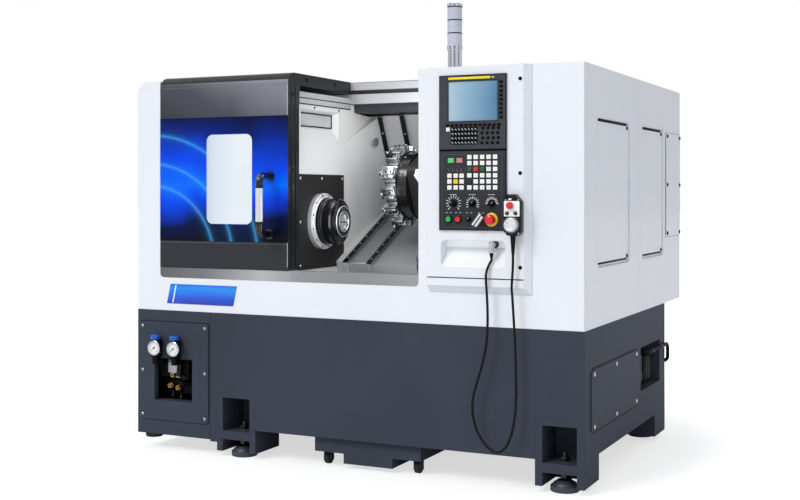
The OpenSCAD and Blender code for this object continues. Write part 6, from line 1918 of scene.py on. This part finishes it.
@dataclass
class SignalTower:
    """Signal lamp on the roof: bright foot, three clear lenses and a cap.

    Attributes:
        place: Centre of its foot on the roof.
        radius: Radius of the tower.
        lens_low: Height where the lenses start.
        lens_step: Height of one lens.
        top: Height of its top.
    """

    place: Point = (0.457, FRONT + 0.150, 1.675)
    radius: float = 0.032
    lens_low: float = 1.781
    lens_step: float = 0.05467
    top: float = 1.961

    def build(self) -> None:
        """Builds the tower's foot, lenses and cap."""
        x, y, low = self.place
        r = self.radius
        shape = Shape("tower_posts")
        foot = ((low, 0.0), (low, r), (low + 0.010, r), (low + 0.011, r - 0.003), (low + 0.088, r - 0.003),
                (low + 0.090, r), (self.lens_low, r), (self.lens_low, 0.0))
        shape.turned((x, y, 0.0), UP, foot, TOWER, 44)
        cap_low = self.top - 0.016
        cap = ((cap_low, 0.0), (cap_low, r), (self.top - 0.006, r), (self.top - 0.002, r - 0.004),
               (self.top, r - 0.010), (self.top, 0.0))
        shape.turned((x, y, 0.0), UP, cap, TOWER, 44)
        for i in range(3):
            z = self.lens_low + self.lens_step * (i + 1) - 0.004
            shape.turned((x, y, 0.0), UP, ((z, 0.0), (z, r - 0.001), (z + 0.004, r - 0.001), (z + 0.004, 0.0)),
                         BLACK, 44)
        shape.make("machine", ("signal_tower",))
        lenses = Shape("tower_lenses")
        for i in range(3):
            z = self.lens_low + self.lens_step * i
            profile = [(z, 0.0), (z, r - 0.002)]
            ribs = 8
            for rib in range(ribs):
                at = z + 0.002 + (self.lens_step - 0.008) * rib / ribs
                profile += [(at, r - 0.001), (at + 0.003, r - 0.001), (at + 0.0045, r - 0.0022)]
            profile += [(z + self.lens_step - 0.004, r - 0.002), (z + self.lens_step - 0.004, 0.0)]
            lenses.turned((x, y, 0.0), UP, profile, LENS, 44)
        lenses.make("machine", ("signal_lenses",))


@dataclass
class Tank:
    """Coolant tank's wheels.

    Attributes:
        wheel_x: Places of the wheels across.
        wheel_y: Depths of the front and the rear wheels.
        wheel_radius: Radius of a wheel.
        wheel_width: Width of a wheel.
    """

    wheel_x: Flat = (-0.108, 0.319)
    wheel_y: Flat = (FRONT + 0.090, FRONT + 1.180)
    wheel_radius: float = 0.028
    wheel_width: float = 0.026

    def build(self) -> None:
        """Builds both pairs of wheels."""
        for body, node, y in (("front_wheels", "caster_wheels_front", self.wheel_y[0]),
                              ("rear_wheels", "caster_wheels_rear", self.wheel_y[1])):
            shape = Shape(f"{body}_tyres")
            r, half = self.wheel_radius, self.wheel_width / 2
            for x in self.wheel_x:
                tyre = ((-half, 0.00505), (-half, 0.020), (-half, r - 0.004), (-half + 0.004, r),
                        (half - 0.004, r), (half, r - 0.004), (half, 0.020), (half, 0.00505), (-half, 0.00505))
                shape.turned((x, y, r), ACROSS, tyre, RUBBER, 40)
                for side in (-1.0, 1.0):
                    hub = turning(0, 6, 0, 17, 0.6, 16.5, 0.6, 6, 0, 6)
                    shape.turned((x + side * (half - 0.0002), y, r), (side, 0.0, 0.0), hub, KEY_GREY, 28)
            shape.make(body, (node,))


NODE_FINISH: dict[str, AnyFinish] = {
    "bed_base": DARK, "rear_base": DARK, "base_legs": DARK, "service_cabinet": DARK, "base_covers": DARK_COVER,
    "slant_bed": CAST, "headstock": CAST, "spindle_motor": CAST, "drive_belt": RUBBER,
    "headstock_wall": LINER, "headstock_plate": PLATE_BLACK, "work_lamp": LINER, "chamber_liner": LINER,
    "headstock_cover": LINER, "sill_strip": SILL_PAINTED_REFLECTION, "door_track": RAIL, "front_panel": WHITE, "side_panels": WHITE,
    "rear_panel": WHITE, "roof_panel": WHITE, "access_panels": WHITE, "control_cabinet": WHITE, "door_frame": DOOR,
    "door_panel": FILM, "door_window": PANE, "door_handle": GRIP, "spindle": STEEL, "motor_pulley": STEEL,
    "carriage": CAST, "carriage_cover": COVER_STEEL, "way_cover_middle": COVER_STEEL,
    "turret_housing": PLATE_BLACK,
    "turret_disc": BLUED, "coolant_tank": DARK,
}


def dress_nodes() -> None:
    """Gives every CAD node that stays in view its finish."""
    for name, finish in NODE_FINISH.items():
        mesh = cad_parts[name].data
        mesh.materials.clear()
        mesh.materials.append(material_of(finish))
        LOG.info("%s in %s", name, finish.name)


def dress_faces(name: str, finish: AnyFinish, facing: Optional[Point] = None,
                low: Point = (-2.0, -2.0, 0.0), high: Point = (2.0, 2.0, 2.0)) -> None:
    """Gives a finish to the faces of a CAD node that lie in a box.

    Args:
        name: Name of the CAD node.
        finish: The finish.
        facing: Direction that the faces look in, if only those are meant.
        low: Lowest corner of the box.
        high: Highest corner of the box.
    """
    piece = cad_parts[name]
    mesh = piece.data
    mesh.materials.append(material_of(finish))
    index = len(mesh.materials) - 1
    for polygon in mesh.polygons:
        centre = piece.matrix_world @ polygon.center
        inside = all(a <= c <= b for a, c, b in zip(low, centre, high))
        if inside and (facing is None or polygon.normal.dot(Vector(facing)) > ALIKE):
            polygon.material_index = index


def main() -> None:
    """Builds the picture: camera and cable first, then the machine from its base to its tools."""
    logging.basicConfig(level=logging.INFO, format="%(message)s")
    assemblies = (Studio(), PendantCable(), Base(), Screws(), Enclosure(), Door(), Chamber(), Turret(),
                  Console(), Pendant(),
                  SignalTower(), Tank())
    for assembly in assemblies:
        assembly.build()
    dress_nodes()
    # The door's front faces take the paint with the painted reflection.
    dress_faces("door_frame", DOOR_FRONT_PAINTED_REFLECTION, FORWARD)
    dress_faces("chamber_liner", DUCT, None, (-1.0, -0.140, 1.548), (0.40, 0.006, 1.610))
    up_front = (0.0, -math.cos(SLANT), -math.sin(SLANT))
    # Painted light: the way covers' front faces take the lighter copy of their steel.
    for cover in ("carriage_cover", "way_cover_middle"):
        dress_faces(cover, COVER_PAINTED_LIGHT, up_front)
        dress_faces(cover, COVER_PAINTED_LIGHT, FORWARD)
    # Painted light: the pocket's back, its slanted floor and the console's right side take glowing whites.
    pocket = ((0.470, FRONT - 0.026, 0.870), (0.751, FRONT + 0.20, 0.983))
    dress_faces("control_cabinet", PAINTED_LIGHT_WHITE, FORWARD, *pocket)
    dress_faces("control_cabinet", PAINTED_LIGHT_WHITE, ACROSS, (0.78, -2.0, 0.6), (0.86, 2.0, 1.8))
    dress_faces("control_cabinet", POCKET_FLOOR_PAINTED_LIGHT, (0.0, -0.79, 0.61), *pocket)


if __name__ == "__main__":
    main()
